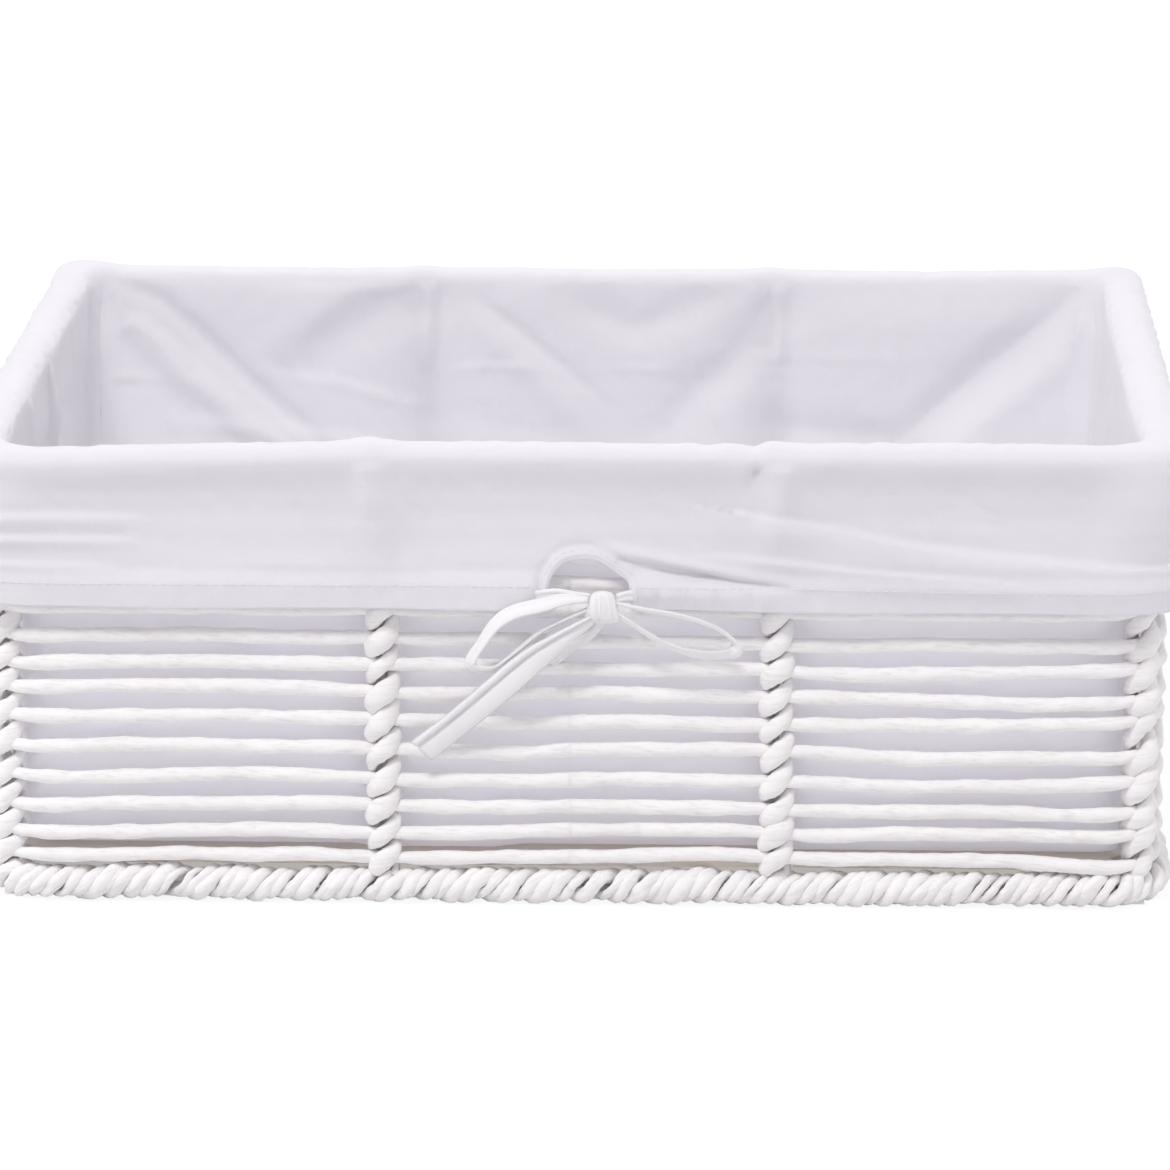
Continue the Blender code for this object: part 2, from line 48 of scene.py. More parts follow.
# How much of the floor shows shadows, and how much of it glows below the basket as painted bounce light, and
# where
SHADOW_SHARE, UNDER_GLOW_SHARE, UNDER_HALF_X, UNDER_HALF_Y = 0.15, 0.25, 0.183, 0.131
LAMPS = (
    ("key_lamp", (-0.45, -1.28, 2.05), 0.45, 20.3),
    ("left_lamp", (-2.3, -0.3, 1.15), 0.8, 9.0),
    ("right_lamp", (2.3, -0.3, 1.15), 0.8, 5.5),
    ("rear_lamp", (0.2, 1.8, 1.4), 1.3, 15.0),
)
LAMP_AIM = Vector((0, 0, 0.07))
CAMERA_PLACE = Vector((0.06236, -1.93925, 0.58047))
SENSOR_WIDTH, LENS, SIGHT_END = 36.0, 182.07, 50
PITCH_DOWN, YAW, ROLL = math.radians(14.762), math.radians(-1.846), math.radians(-0.038)


class Socket:
    """One output in a node tree. Python's operators on it add Math nodes."""

    def __init__(self, tree, end=None):
        self.tree, self.end = tree, end

    def node(self, kind, settings=(), inputs=(), out=0):
        """Adds a node: its settings first, then the values or links of its sockets."""
        made = self.tree.nodes.new(kind)
        for name, value in dict(settings).items():
            setattr(made, name, value)
        for name, value in dict(inputs).items():
            if isinstance(value, Socket):
                self.tree.links.new(value.end, made.inputs[name])
            else:
                made.inputs[name].default_value = value
        return Socket(self.tree, made.outputs[out] if made.outputs else None)

    def output(self, name):
        """Another output of the same node."""
        return Socket(self.tree, self.end.node.outputs[name])

    def maths(self, operation, *values):
        return self.node("ShaderNodeMath", {"operation": operation}, dict(enumerate(values)))

    def plus(self, vector):
        return self.node("ShaderNodeVectorMath", {"operation": "ADD"}, {0: self, 1: vector})

    def scaled(self, amount):
        return self.node("ShaderNodeVectorMath", {"operation": "SCALE"}, {0: self, "Scale": amount})

    def mixed(self, first, second):
        """A colour between two, by this value."""
        return self.node("ShaderNodeMix", {"data_type": "RGBA"}, {0: self, 6: first, 7: second}, 2)

    def finish(self, share, first, second, kind="Material"):
        """Ends the tree in two shaders, mixed by the share of the second."""
        both = self.node("ShaderNodeMixShader", inputs={0: share, 1: first, 2: second})
        self.node("ShaderNodeOutput" + kind, inputs={0: both})

    def __add__(self, other):
        return self.maths("ADD", self, other)

    def __sub__(self, other):
        return self.maths("SUBTRACT", self, other)

    def __rsub__(self, other):
        return self.maths("SUBTRACT", other, self)

    def __mul__(self, other):
        return self.maths("MULTIPLY", self, other)

    __radd__ = __add__
    __rmul__ = __mul__


def empty_tree(owner):
    """Clears the nodes of a material or a world, and gives a Socket to start from."""
    owner.use_nodes = True
    owner.node_tree.nodes.clear()
    return Socket(owner.node_tree)


def new_material(name):
    material = bpy.data.materials.new(name)
    return material, empty_tree(material)


def seen_directly(start):
    """1 for rays from the camera, a mirror or clear stuff, which see the surround as plain white."""
    path = start.node("ShaderNodeLightPath")
    rays = [path.output(name) for name in ("Is Camera Ray", "Is Glossy Ray", "Is Transmission Ray")]
    return start.maths("MAXIMUM", start.maths("MAXIMUM", rays[0], rays[1]), rays[2])


def add_object(name, mesh, material=None, smooth=True):
    thing = bpy.data.objects.new(name, mesh)
    bpy.context.scene.collection.objects.link(thing)
    if material:
        mesh.materials.clear()
        mesh.materials.append(material)
    if smooth:
        mesh.polygons.foreach_set("use_smooth", [True] * len(mesh.polygons))
    return thing


surround = bpy.data.worlds.new("surround")
sky = empty_tree(surround)
even = sky.node("ShaderNodeBackground", inputs={"Color": SURROUND_TINT, "Strength": SURROUND_STRENGTH})
sky.finish(seen_directly(sky), even, sky.node("ShaderNodeBackground", inputs={"Color": WHITE}), "World")
bpy.context.scene.world = surround

floor_paper, start = new_material("floor_paper")
matte = start.node("ShaderNodeBsdfDiffuse", inputs={"Color": STUDIO_GREY})
lit = start.node("ShaderNodeEmission", inputs={"Color": WHITE, "Strength": STUDIO_GLOW})
spot = start.node("ShaderNodeSeparateXYZ", inputs={0: start.node("ShaderNodeTexCoord", out="Object")})
below_x, below_y = (start.maths("LESS_THAN", start.maths("ABSOLUTE", spot.output(axis)), half)
                    for axis, half in (("X", UNDER_HALF_X), ("Y", UNDER_HALF_Y)))
below = below_x * below_y
# Below the basket the floor glows faintly for every ray: painted bounce light for the crevices
start.finish(seen_directly(start) * (1 - SHADOW_SHARE) * (1 - below) + below * UNDER_GLOW_SHARE, matte, lit)
floor_mesh = bpy.data.meshes.new("studio_floor")
floor_mesh.from_pydata([(x * STUDIO_HALF, y * STUDIO_HALF, STUDIO_Z)
                        for x, y in ((-1, -1), (1, -1), (1, 1), (-1, 1))], [], [(0, 1, 2, 3)])
add_object("studio_floor", floor_mesh, floor_paper, False)

for name, place, size, power in LAMPS:
    lamp = bpy.data.lights.new(name, "AREA")
    lamp.size, lamp.energy = size, power
    stand = add_object(name, lamp, smooth=False)
    stand.location = place
    stand.rotation_euler = (LAMP_AIM - Vector(place)).to_track_quat("-Z", "Y").to_euler()

ahead = Vector((math.sin(YAW) * math.cos(PITCH_DOWN), math.cos(YAW) * math.cos(PITCH_DOWN),
                -math.sin(PITCH_DOWN)))
across = Vector((math.cos(YAW), -math.sin(YAW), 0))
upward = across.cross(ahead)
turned = across * math.cos(ROLL) + upward * math.sin(ROLL)
risen = upward * math.cos(ROLL) - across * math.sin(ROLL)
camera_data = bpy.data.cameras.new("camera")
camera_data.sensor_width, camera_data.lens, camera_data.clip_end = SENSOR_WIDTH, LENS, SIGHT_END
camera = add_object("camera", camera_data, smooth=False)
camera.matrix_world = Matrix.Translation(CAMERA_PLACE) @ Matrix((turned, risen, -ahead)).transposed().to_4x4()
bpy.context.scene.camera = camera
bpy.context.scene.view_settings.view_transform = "Standard"


# ---- Wire frame ----
# Two closed rings and ten uprights of 2.4 mm steel wire under white powder coat. The cord is
# twined and wrapped round them, so little of the wire shows.
WIRE_WHITE, WIRE_WORN, WIRE_BARE = (0.78, 0.78, 0.77, 1), (0.66, 0.65, 0.62, 1), (0.42, 0.41, 0.40, 1)
CORNER_POSTS = ("corner_back_right", "corner_back_left", "corner_front_left", "corner_front_right")
POSTS = ("front_left", "front_right", "back_left", "back_right", "left_side", "right_side", *CORNER_POSTS)


def noise(place, scale, detail, roughness=0.5):
    """Noise from 0 to 1 over a place."""
    return place.node("ShaderNodeTexNoise", inputs={
        "Vector": place, "Scale": scale, "Detail": detail, "Roughness": roughness})


def within(value, low, high):
    """0 at one end of a range of values and 1 at the other."""
    return value.node("ShaderNodeMapRange", inputs={"Value": value, "From Min": low, "From Max": high})


def relief(height, strength, distance, **under):
    """Normals of a surface that rises and falls by this height."""
    return height.node("ShaderNodeBump", inputs={
        "Height": height, "Strength": strength, "Distance": distance, **under})


def coat(start, looks):
    """Ends a material in one coat with these looks."""
    start.node("ShaderNodeOutputMaterial", inputs={0: start.node("ShaderNodeBsdfPrincipled", inputs=looks)})


def paint(node, material):
    for held in nodes[node].material_slots:
        held.material = material


powder_coat, start = new_material("frame_wire_coat")
place = start.node("ShaderNodeTexCoord", out="Object")
fleck, rubbed = noise(place, 900.0, 3.0), noise(place, 70.0, 4.0)
bare = within(rubbed, 0.70, 0.74)
coat(start, {
    "Base Color": bare.mixed((rubbed * 0.4).mixed(WIRE_WHITE, WIRE_WORN), WIRE_BARE),
    "Roughness": 0.34 + rubbed * 0.25,
    "Metallic": bare * 0.9,
    "Normal": relief(fleck, 0.12, 0.0002),
})
for node in ("base_frame_wire", "rim_frame_wire", *(f"upright_{post}" for post in POSTS)):
    paint(node, powder_coat)


# ---- Base board ----
# Brown fibreboard, 2.5 mm thick, laid on the base border under the liner. It only shows as
# brown glimpses through the lowest gaps.
BOARD_BROWN, BOARD_DARK = (0.88, 0.82, 0.76, 1), (0.74, 0.67, 0.60, 1)


def stretched(place, scale):
    return place.node("ShaderNodeMapping", inputs={"Vector": place, "Scale": scale})


fibreboard, start = new_material("brown_fibreboard")
place = start.node("ShaderNodeTexCoord", out="Object")
fibre, patch = noise(stretched(place, (1, 1, 5)), 420.0, 6.0, 0.7), noise(place, 26.0, 3.0)
coat(start, {
    "Base Color": (fibre * 0.7 + patch * 0.4 - 0.1).mixed(BOARD_DARK, BOARD_BROWN),
    "Roughness": 0.78 + patch * 0.2,
    "Normal": relief(fibre, 0.5, 0.0004),
})
paint("base_board", fibreboard)


# ---- Base border ----
# Four strands of twisted white paper cord, laid round the bottom ring of wire as a rope. Hand
# wrapping leaves uneven strands and dark gaps, and the rope stands on the floor.
PAPER_LIGHT, PAPER_MID, PAPER_CREASE_SHADE = (0.95, 0.93, 0.935, 1), (0.87, 0.845, 0.845, 1), (0.74, 0.71, 0.71, 1)
HALF_WIDTH, HALF_DEPTH, CORNER_RADIUS = 0.1867, 0.1352, 0.020
STRAIGHT_X, STRAIGHT_Y = HALF_WIDTH - CORNER_RADIUS, HALF_DEPTH - CORNER_RADIUS
BORDER_STRANDS = 4
BASE_LAY, BASE_STEP = 0.0178, 0.0006
BASE_MIDDLE, BASE_MIDDLE_Z = -0.0007, 0.0054

paper_cord, start = new_material("twisted_paper_cord")
laid = start.node("ShaderNodeAttribute", {"attribute_name": "paper"}, out="Vector")
crumple, pulp = noise(laid, 420.0, 5.0, 0.62), noise(laid, 4200.0, 2.0)
pleats = noise(stretched(laid, (0.16, 1, 1)), 1100.0, 3.0)
worn = noise(start.node("ShaderNodeTexCoord", out="Object"), 34.0, 3.0)
# The hollows of the pleats get a darker colour: painted shade in the creases
crease_shade, soiled = within(pleats, 0.47, 0.33), within(worn * 0.7 + crumple * 0.3, 0.45, 0.68)
coat(start, {
    "Base Color": (crease_shade * 0.4).mixed((soiled * 0.55).mixed(PAPER_LIGHT, PAPER_MID), PAPER_CREASE_SHADE),
    "Roughness": 0.70 + crumple * 0.25,
    "Specular IOR Level": 0.35,
    "Normal": relief(pleats * 0.9 + crumple * 0.8 + pulp * 0.08, 0.42, 0.0005),
})


def shape_tree(name, counts, sizes):
    """A new tree of shapes with these inputs: a Socket to start from, and the inputs' Sockets."""
    tree = bpy.data.node_groups.new(name, "GeometryNodeTree")
    tree.interface.new_socket("Geometry", in_out="OUTPUT", socket_type="NodeSocketGeometry")
    kinds = {"Geometry": "Geometry", **dict.fromkeys(counts, "Int"), **dict.fromkeys(sizes, "Float"),
             "Material": "Material"}
    for label, kind in kinds.items():
        tree.interface.new_socket(label, in_out="INPUT", socket_type="NodeSocket" + kind)
    given = tree.nodes.new("NodeGroupInput")
    return Socket(tree), {label: Socket(tree, given.outputs[label]) for label in kinds}


def end_shape(start, shape, material):
    """Ends a tree of shapes in plain mesh of one material."""
    plain = start.node("GeometryNodeRealizeInstances", inputs={0: shape})
    plain = start.node("GeometryNodeSetMaterial", inputs={"Geometry": plain, "Material": material})
    start.node("NodeGroupOutput", inputs={0: plain})
    return start.tree


def strand_tree():
    """Winds strands round a path, sweeps a flattened cord along each and crumples its paper."""
    start, given = shape_tree("laid_strands", ("Strands", "Sides"), (
        "Reach Out", "Reach Up", "Width", "Thickness", "Slack", "Stray", "Swell", "Lobe", "Twist", "Ply",
        "Crumple", "Seed"))

    def read(name, kind="FLOAT"):
        return start.node("GeometryNodeInputNamedAttribute", {"data_type": kind}, {"Name": name})

    def keep(shape, name, value, kind="FLOAT"):
        return start.node("GeometryNodeStoreNamedAttribute", {"data_type": kind, "domain": "POINT"},
                          {"Geometry": shape, "Name": name, "Value": value})

    def moved(shape, **place):
        return start.node("GeometryNodeSetPosition", inputs={"Geometry": shape, **place})

    def joined(x, y, z):
        return start.node("ShaderNodeCombineXYZ", inputs={0: x, 1: y, 2: z})

    def wander(place, scale, offset, detail=1.0):
        """Noise either side of 0, from an own part of the pattern."""
        return noise(place.plus(joined(offset, 0.0, offset)), scale, detail) - 0.5

    line = start.node("GeometryNodeMeshToCurve", inputs={0: given["Geometry"]})
    line = start.node("GeometryNodeDuplicateElements", {"domain": "SPLINE"}, {
        "Geometry": line, "Amount": given["Strands"]})
    line = keep(line, "strand", line.output("Duplicate Index"))
    line = keep(line, "start_place", start.node("GeometryNodeInputPosition"), "FLOAT_VECTOR")
    place, number = read("start_place", "FLOAT_VECTOR"), read("strand")
    own = given["Seed"] + number * 3.7
    # Each strand runs round the path by its own phase, and strays a little off its way
    phase = (read("turn") + number * start.maths("DIVIDE", 1.0, given["Strands"])) * (2 * math.pi)
    phase = phase + wander(place, 45.0, own) * given["Slack"]
    ahead, aside = start.maths("COSINE", phase), start.maths("SINE", phase)
    outward, side = read("outward", "FLOAT_VECTOR"), read("side", "FLOAT_VECTOR")
    stray_out, stray_up = (wander(place, 28.0, own + shift) * given["Stray"] for shift in (11.0, 23.0))
    shift = outward.scaled(ahead * given["Reach Out"] + stray_out).plus(
        side.scaled(aside * given["Reach Up"] + stray_up))
    line = keep(line, "radial", outward.scaled(ahead).plus(side.scaled(aside)), "FLOAT_VECTOR")
    swell = 1 + wander(place, 60.0, own + 31.0) * given["Swell"]
    line = keep(line, "swell", read("thin") * swell * (1 + given["Lobe"] * ahead))
    line = start.node("GeometryNodeSetCurveNormal", {"mode": "FREE"}, {
        "Curve": moved(line, Offset=shift), "Normal": read("radial", "FLOAT_VECTOR")})
    line = keep(line, "along", start.node("GeometryNodeSplineParameter", out="Length"))
    ring = start.node("GeometryNodeCurvePrimitiveCircle", {"mode": "RADIUS"}, {
        "Resolution": given["Sides"], "Radius": 0.5})
    ring = keep(ring, "around", start.node("GeometryNodeSplineParameter", out="Factor") * (2 * math.pi))
    flattened = start.node("ShaderNodeVectorMath", {"operation": "MULTIPLY"}, {
        0: start.node("GeometryNodeInputPosition"), 1: joined(given["Thickness"], given["Width"], 1.0)})
    tube = start.node("GeometryNodeCurveToMesh", inputs={
        "Curve": line, "Profile Curve": moved(ring, Position=flattened), "Scale": read("swell"),
        "Fill Caps": True})
    # The paper's own pattern and its plies turn round the cord as it was twisted
    along, reach = read("along"), given["Thickness"] * 0.5
    lean = read("around") - along * given["Twist"]
    lean_out, lean_up = start.maths("COSINE", lean), start.maths("SINE", lean)
    tube = keep(tube, "paper", joined(along + own, lean_out * reach, lean_up * reach), "FLOAT_VECTOR")
    rough = wander(read("paper", "FLOAT_VECTOR"), 260.0, 0.0, 2.0) * given["Crumple"]
    rough = rough + (start.maths("ABSOLUTE", lean_out) - 0.6) * given["Ply"]
    tube = moved(tube, Offset=start.node("GeometryNodeInputNormal").scaled(rough))
    return end_shape(start, tube, given["Material"])


laid_strands = strand_tree()


def run_tree(thing, tree, sizes):
    """Gives the object the tree's result as its own plain mesh, and drops the modifier."""
    modifier = thing.modifiers.new("made", "NODES")
    modifier.node_group = tree
    for item in tree.interface.items_tree:
        if item.in_out == "INPUT" and item.name in sizes:
            modifier[item.identifier] = sizes[item.name]
    bpy.context.view_layer.update()
    result = bpy.data.meshes.new_from_object(thing.evaluated_get(bpy.context.evaluated_depsgraph_get()))
    thing.modifiers.remove(modifier)
    thing.data = result
    result.polygons.foreach_set("use_smooth", [True] * len(result.polygons))
    return thing


def lay_cord(name, points, outward, side, turns, closed, sizes, thin):
    """A piece of paper cord: strands wound round a path by a running count of turns."""
    mesh = bpy.data.meshes.new(name)
    count = len(points)
    links = [(k, k + 1) for k in range(count - 1)] + ([(count - 1, 0)] if closed else [])
    mesh.from_pydata([tuple(point) for point in points], links, [])
    for label, values, shape in (("outward", outward, (count, 3)), ("side", side, (count, 3)),
                                 ("turn", turns, count), ("thin", thin, count)):
        values = np.broadcast_to(np.asarray(values, float), shape)
        kind, key = ("FLOAT_VECTOR", "vector") if values.ndim == 2 else ("FLOAT", "value")
        mesh.attributes.new(label, kind, "POINT").data.foreach_set(key, values.ravel())
    sizes = {"Material": paper_cord, **sizes}
    cord = run_tree(add_object(name, mesh, paper_cord, False), laid_strands, sizes)
    for label in ("outward", "side", "turn", "thin", "strand", "start_place", "radial", "swell", "along",
                  "around"):
        if label in cord.data.attributes:
            cord.data.attributes.remove(cord.data.attributes[label])
    return cord


def lay_ring(name, points, outward, turns, sizes, thin=1.0):
    """Paper cord laid as a closed ring, with a whole number of turns spread evenly round it."""
    shares = np.arange(len(points)) / len(points)
    return lay_cord(name, points, outward, (0, 0, 1), turns * shares, True, sizes, thin)


def ring_walk(offset, step):
    """Points round the basket at an offset from the rows' line, anticlockwise from mid front."""
    radius = CORNER_RADIUS + offset
    arc = math.pi / 2 * radius
    legs = (STRAIGHT_X, arc, 2 * STRAIGHT_Y, arc, 2 * STRAIGHT_X, arc, 2 * STRAIGHT_Y, arc, STRAIGHT_X)
    heels = [(0, -STRAIGHT_Y)]
    for x, y in ((1, -1), (1, 1), (-1, 1), (-1, -1)):
        heels += [(x * STRAIGHT_X, y * STRAIGHT_Y)] * 2
    count = round(sum(legs) / step)
    points, outward = [], []
    for k in range(count):
        run, leg = sum(legs) * k / count, 0
        while run > legs[leg]:
            run, leg = run - legs[leg], leg + 1
        turn = math.radians(-90 + 90 * (leg // 2)) + (run / radius if leg % 2 else 0)
        out = np.array((math.cos(turn), math.sin(turn), 0))
        along = np.array((-out[1], out[0], 0)) * (0 if leg % 2 else run)
        points.append(np.array((*heels[leg], 0)) + along + out * radius)
        outward.append(out)
    return np.array(points), np.array(outward)


points, outward = ring_walk(BASE_MIDDLE, BASE_STEP)
points[:, 2] = BASE_MIDDLE_Z
base_border = lay_ring("base_border_rope", points, outward, round(len(points) * BASE_STEP / BASE_LAY), {
    "Strands": BORDER_STRANDS, "Reach Out": 0.0035, "Reach Up": 0.0033, "Width": 0.0041,
    "Thickness": 0.0044, "Sides": 14, "Slack": 2.8, "Stray": 0.0017, "Swell": 2.0, "Twist": 300.0,
    "Ply": 0.0004, "Crumple": 0.0018, "Seed": 2.0})
# The basket's weight presses the rope flat on the floor
for vertex in base_border.data.vertices:
    vertex.co.z = max(vertex.co.z, 0.0)
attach(base_border, "basket")
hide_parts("base_border")


# ---- Cord rows ----
# Fourteen rings of twisted paper cord, about 4.6 mm thick and 9 mm apart. Each is pulled tight
# by hand between the posts, so none is quite level, and it is pinched where a post crosses it.
ROW_FIRST_Z, ROW_PITCH, ROW_COUNT = 0.015, 0.00905, 14
ROW_STEP, ROW_TWISTS, ROW_EASE = 0.0011, 30, 7
PINCH, PINCH_REACH = 0.20, 0.0062
# How far each row seen bends up or down at places along the front, in millimetres
BEND_PLACES = (-176, -147, -115, -83, -60, -47, -16, 15, 47, 65, 77, 107, 139, 169)
ROW_BENDS = (
    (-0.8, -0.3, 0.0, 0.3, -0.6, -0.9, 0.0, 0.5, 1.3, 0.4, 0.0, 0.0, -0.5, -2.0),
    (-2.2, -2.2, -1.1, -0.4, -1.0, -1.4, -0.7, 0.1, 0.3, -0.3, -0.8, -0.2, -0.4, -1.2),
    (-2.1, -1.2, -1.4, -0.8, -1.4, -2.0, -1.6, -1.1, -1.0, -1.5, -2.0, -1.8, -2.0, -2.5),
    (-1.9, -1.4, -0.5, -0.8, -1.6, -2.3, -2.0, -0.8, -1.3, -1.3, -1.3, -2.5, -2.6, -1.4),
    (-1.2, 0.0, 0.4, -0.5, -0.8, -1.0, -1.6, -0.4, -0.2, -0.6, -0.8, -2.4, -2.4, -1.8),
    (0.0, 1.0, 0.8, 0.2, -0.2, -0.5, -0.6, 0.0, -0.9, -1.0, -1.0, -0.8, -0.5, 0.5),
    (0.3, 1.4, 1.5, 1.3, 0.2, -0.5, 0.1, 0.0, -0.8, -1.0, -1.1, -1.8, -2.3, -1.7),
    (-0.7, 0.4, 0.3, 0.6, 0.2, 0.0, -0.4, -0.9, -0.5, -1.2, -2.1, -1.7, -0.9, -0.1),
    (-0.7, 0.1, 0.4, 0.0, -0.4, -0.7, -1.0, -1.0, -1.6, -1.8, -2.0, -0.6, -1.4, -1.2),
    (-0.4, 0.2, 0.4, 0.2, 0.1, 0.0, -0.2, 0.3, 0.1, -0.2, -0.4, 0.2, 0.0, 0.3),
)
POST_PLACES = {
    "front_left": ((-0.060, -HALF_DEPTH), -90), "front_right": ((0.065, -HALF_DEPTH), -90),
    "back_left": ((-0.060, HALF_DEPTH), 90), "back_right": ((0.065, HALF_DEPTH), 90),
    "left_side": ((-HALF_WIDTH, 0.0), 180), "right_side": ((HALF_WIDTH, 0.0), 0),
}
for corner, (post, (x, y)) in enumerate(zip(CORNER_POSTS, ((1, 1), (-1, 1), (-1, -1), (1, -1)))):
    reach = CORNER_RADIUS * math.sqrt(0.5)
    POST_PLACES[post] = ((x * (STRAIGHT_X + reach), y * (STRAIGHT_Y + reach)), 45 + 90 * corner)

row_dice = np.random.default_rng(11)
row_waves = [[(row_dice.uniform(0.0002, 0.0006), row_dice.uniform(0, 6.3)) for _ in range(5)]
             for _ in range(ROW_COUNT)]


def row_height(row, x, y):
    """Height of a row's middle above a point of its ring: as seen on the front, waving elsewhere."""
    walk = math.atan2(y, x)
    z = ROW_FIRST_Z + ROW_PITCH * row
    wave = sum(size * math.sin((2 * k + 3) * walk + begin) for k, (size, begin) in enumerate(row_waves[row]))
    if row >= len(ROW_BENDS):
        return z + wave * 0.6
    front = float(np.interp(x * 1000, BEND_PLACES, ROW_BENDS[row])) / 1000
    share = min(max((-y - STRAIGHT_Y + 0.010) / 0.020, 0), 1)
    return z + front * share + wave * (1 - 0.8 * share)


for row in range(ROW_COUNT):
    points, outward = ring_walk(0, ROW_STEP)
    thin = np.ones(len(points))
    for place, _ in POST_PLACES.values():
        gap = np.hypot(points[:, 0] - place[0], points[:, 1] - place[1])
        thin -= PINCH * np.exp(-(gap / PINCH_REACH) ** 2)
    levels = [row_height(row, x, y) for x, y, _ in points]
    kernel = np.ones(2 * ROW_EASE + 1) / (2 * ROW_EASE + 1)
    points[:, 2] = np.convolve(levels[-ROW_EASE:] + levels + levels[:ROW_EASE], kernel, "valid")
    cord = lay_ring(f"cord_row_{row + 1:02d}_twist", points, outward, ROW_TWISTS, {
        "Strands": 1, "Reach Out": 0.0, "Reach Up": 0.0, "Width": 0.0048, "Thickness": 0.0044,
        "Sides": 14, "Stray": 0.0018, "Swell": 0.55, "Twist": 170.0, "Ply": 0.00008, "Crumple": 0.0007,
        "Seed": 5.0 + row * 1.3}, thin)
    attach(cord, "basket")
    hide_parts(f"cord_row_{row + 1:02d}")


# ---- Twined posts ----
# Two thick strands twined round each upright wire. At every row one passes in front and the
# other behind, so each row is held under one leaning lobe of cord.
POST_MIDDLE, POST_LOW_Z, POST_HIGH_Z, POST_STEP = -0.00125, 0.0085, 0.1415, 0.0005
# The strands thin out over their last millimetres
POST_END, POST_END_THIN = 0.003, 0.55

for number, (post, (place, angle)) in enumerate(POST_PLACES.items()):
    out = np.array((math.cos(math.radians(angle)), math.sin(math.radians(angle)), 0))
    heights = np.arange(POST_LOW_Z, POST_HIGH_Z, POST_STEP)
    held = [row_height(row, *place) for row in range(ROW_COUNT)]
    count = np.interp(heights, held, np.arange(ROW_COUNT))
    count += (np.minimum(heights - held[0], 0) + np.maximum(heights - held[-1], 0)) / ROW_PITCH
    points = np.array((*place, 0)) + out * POST_MIDDLE + heights[:, None] * np.array((0, 0, 1))
    ends = [np.clip(gap / POST_END, POST_END_THIN, 1)
            for gap in (heights - POST_LOW_Z, POST_HIGH_Z - heights)]
    twine = lay_cord(f"twined_post_{post}", points, out, (-out[1], out[0], 0), count / 2, False, {
        "Strands": 2, "Reach Out": 0.0037, "Reach Up": 0.0035, "Width": 0.0052, "Thickness": 0.0042,
        "Sides": 16, "Slack": 1.0, "Stray": 0.0012, "Swell": 1.0, "Lobe": 0.26, "Twist": 200.0,
        "Ply": 0.0003, "Crumple": 0.0016, "Seed": 40.0 + number * 2.1}, ends[0] * ends[1])
    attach(twine, "basket")
    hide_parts(f"wrap_{post}")


# ---- Rim border ----
# The same laid rope round the top ring of wire. The liner folds over it, so it shows only
# where the liner is lifted out.
RIM_LAY, RIM_STEP = 0.0200, 0.0008
RIM_MIDDLE, RIM_MIDDLE_Z = -0.0005, 0.1438
RIM_SAG = 0.0034


def rim_sag(x, y):
    """How far the rope and the cloth over it drop: the front sinks from its left post to the corner."""
    share = np.clip((-x - 0.062) / 0.124, 0, 1)
    return RIM_SAG * share * np.clip((-y - 0.075) / 0.060, 0, 1)


points, outward = ring_walk(RIM_MIDDLE, RIM_STEP)
points[:, 2] = RIM_MIDDLE_Z - rim_sag(points[:, 0], points[:, 1])
rim_border = lay_ring("rim_border_rope", points, outward, round(len(points) * RIM_STEP / RIM_LAY), {
    "Strands": BORDER_STRANDS, "Reach Out": 0.0034, "Reach Up": 0.0036, "Width": 0.0050,
    "Thickness": 0.0040, "Sides": 10, "Slack": 1.4, "Stray": 0.0008, "Swell": 0.4, "Twist": 520.0,
    "Ply": 0.0004, "Crumple": 0.0008, "Seed": 77.0})
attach(rim_border, "basket")
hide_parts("rim_border")


# ---- Liner sides ----
# Four panels of white plain-weave cotton, sewn at the corners. Each climbs the inside, folds
# over the rim and hangs outside as a skirt that ends in a hem channel for the drawstring.
RIM_IN, WALL_IN, RIM_OUT, SKIRT_OUT = -0.0067, -0.0082, 0.0072, 0.0058
CROWN_Z, CROWN_TOP_Z, OVERHANG_Z, WALL_FOOT_Z = 0.1462, 0.1508, 0.1468, 0.0295
HEM_Z, CHANNEL_HEIGHT, CHANNEL_OUT, CHANNEL_BACK = 0.0990, 0.0078, 0.0088, 0.0056
CLOTH_STEP, CORNER_BULGE, STITCH_LIFT = 0.0013, 0.0068, 0.0002
COTTON_LIGHT, COTTON_SHADE, YARN = (0.93, 0.915, 0.96, 1), (0.87, 0.85, 0.905, 1), 0.00055
# The share of light let through. The turned hem behind the tape shows as little as in real light.
SHEER, HEM_SHEER = 0.28, 0.95
# The tables of the cloth, and its shaping below, are in millimetres. The wall's foot (offset,
# height) from the floor seam, where it hangs straight and where it is tucked in
FOOT_OUT = ((-20.1, 14.4), (-15.0, 14.6), (-10.5, 15.0), (-8.8, 16.0), (-8.4, 17.6), (-8.4, 20.0),
            (-8.4, 23.0), (-8.4, 26.5))
FOOT_IN = ((-20.1, 14.4), (-16.4, 14.7), (-13.4, 15.3), (-11.4, 16.6), (-10.2, 18.4), (-9.5, 20.7),
           (-8.9, 23.4), (-8.5, 26.8))
# Height and offset of the skirt where it hangs between posts: in under the rim, then out again
SKIRT_HANG = ((152, 7.2), (146.8, 7.1), (144.2, 6.2), (141, 5.0), (137, 3.9), (133, 3.35), (126, 3.4),
              (118, 4.3), (112, 5.2), (106, 5.8), (98, 5.8))
ARCH_LINE = ((-9.6, 98.9), (-8.6, 101.4), (-7.6, 104.6), (-6.6, 108.2), (-5.2, 111.2), (-2.4, 114.1),
             (2.7, 115.5), (8.0, 115.0), (11.8, 112.9), (15.0, 110.4), (17.2, 108.9), (18.2, 107.2),
             (18.6, 103.0), (18.8, 98.9))
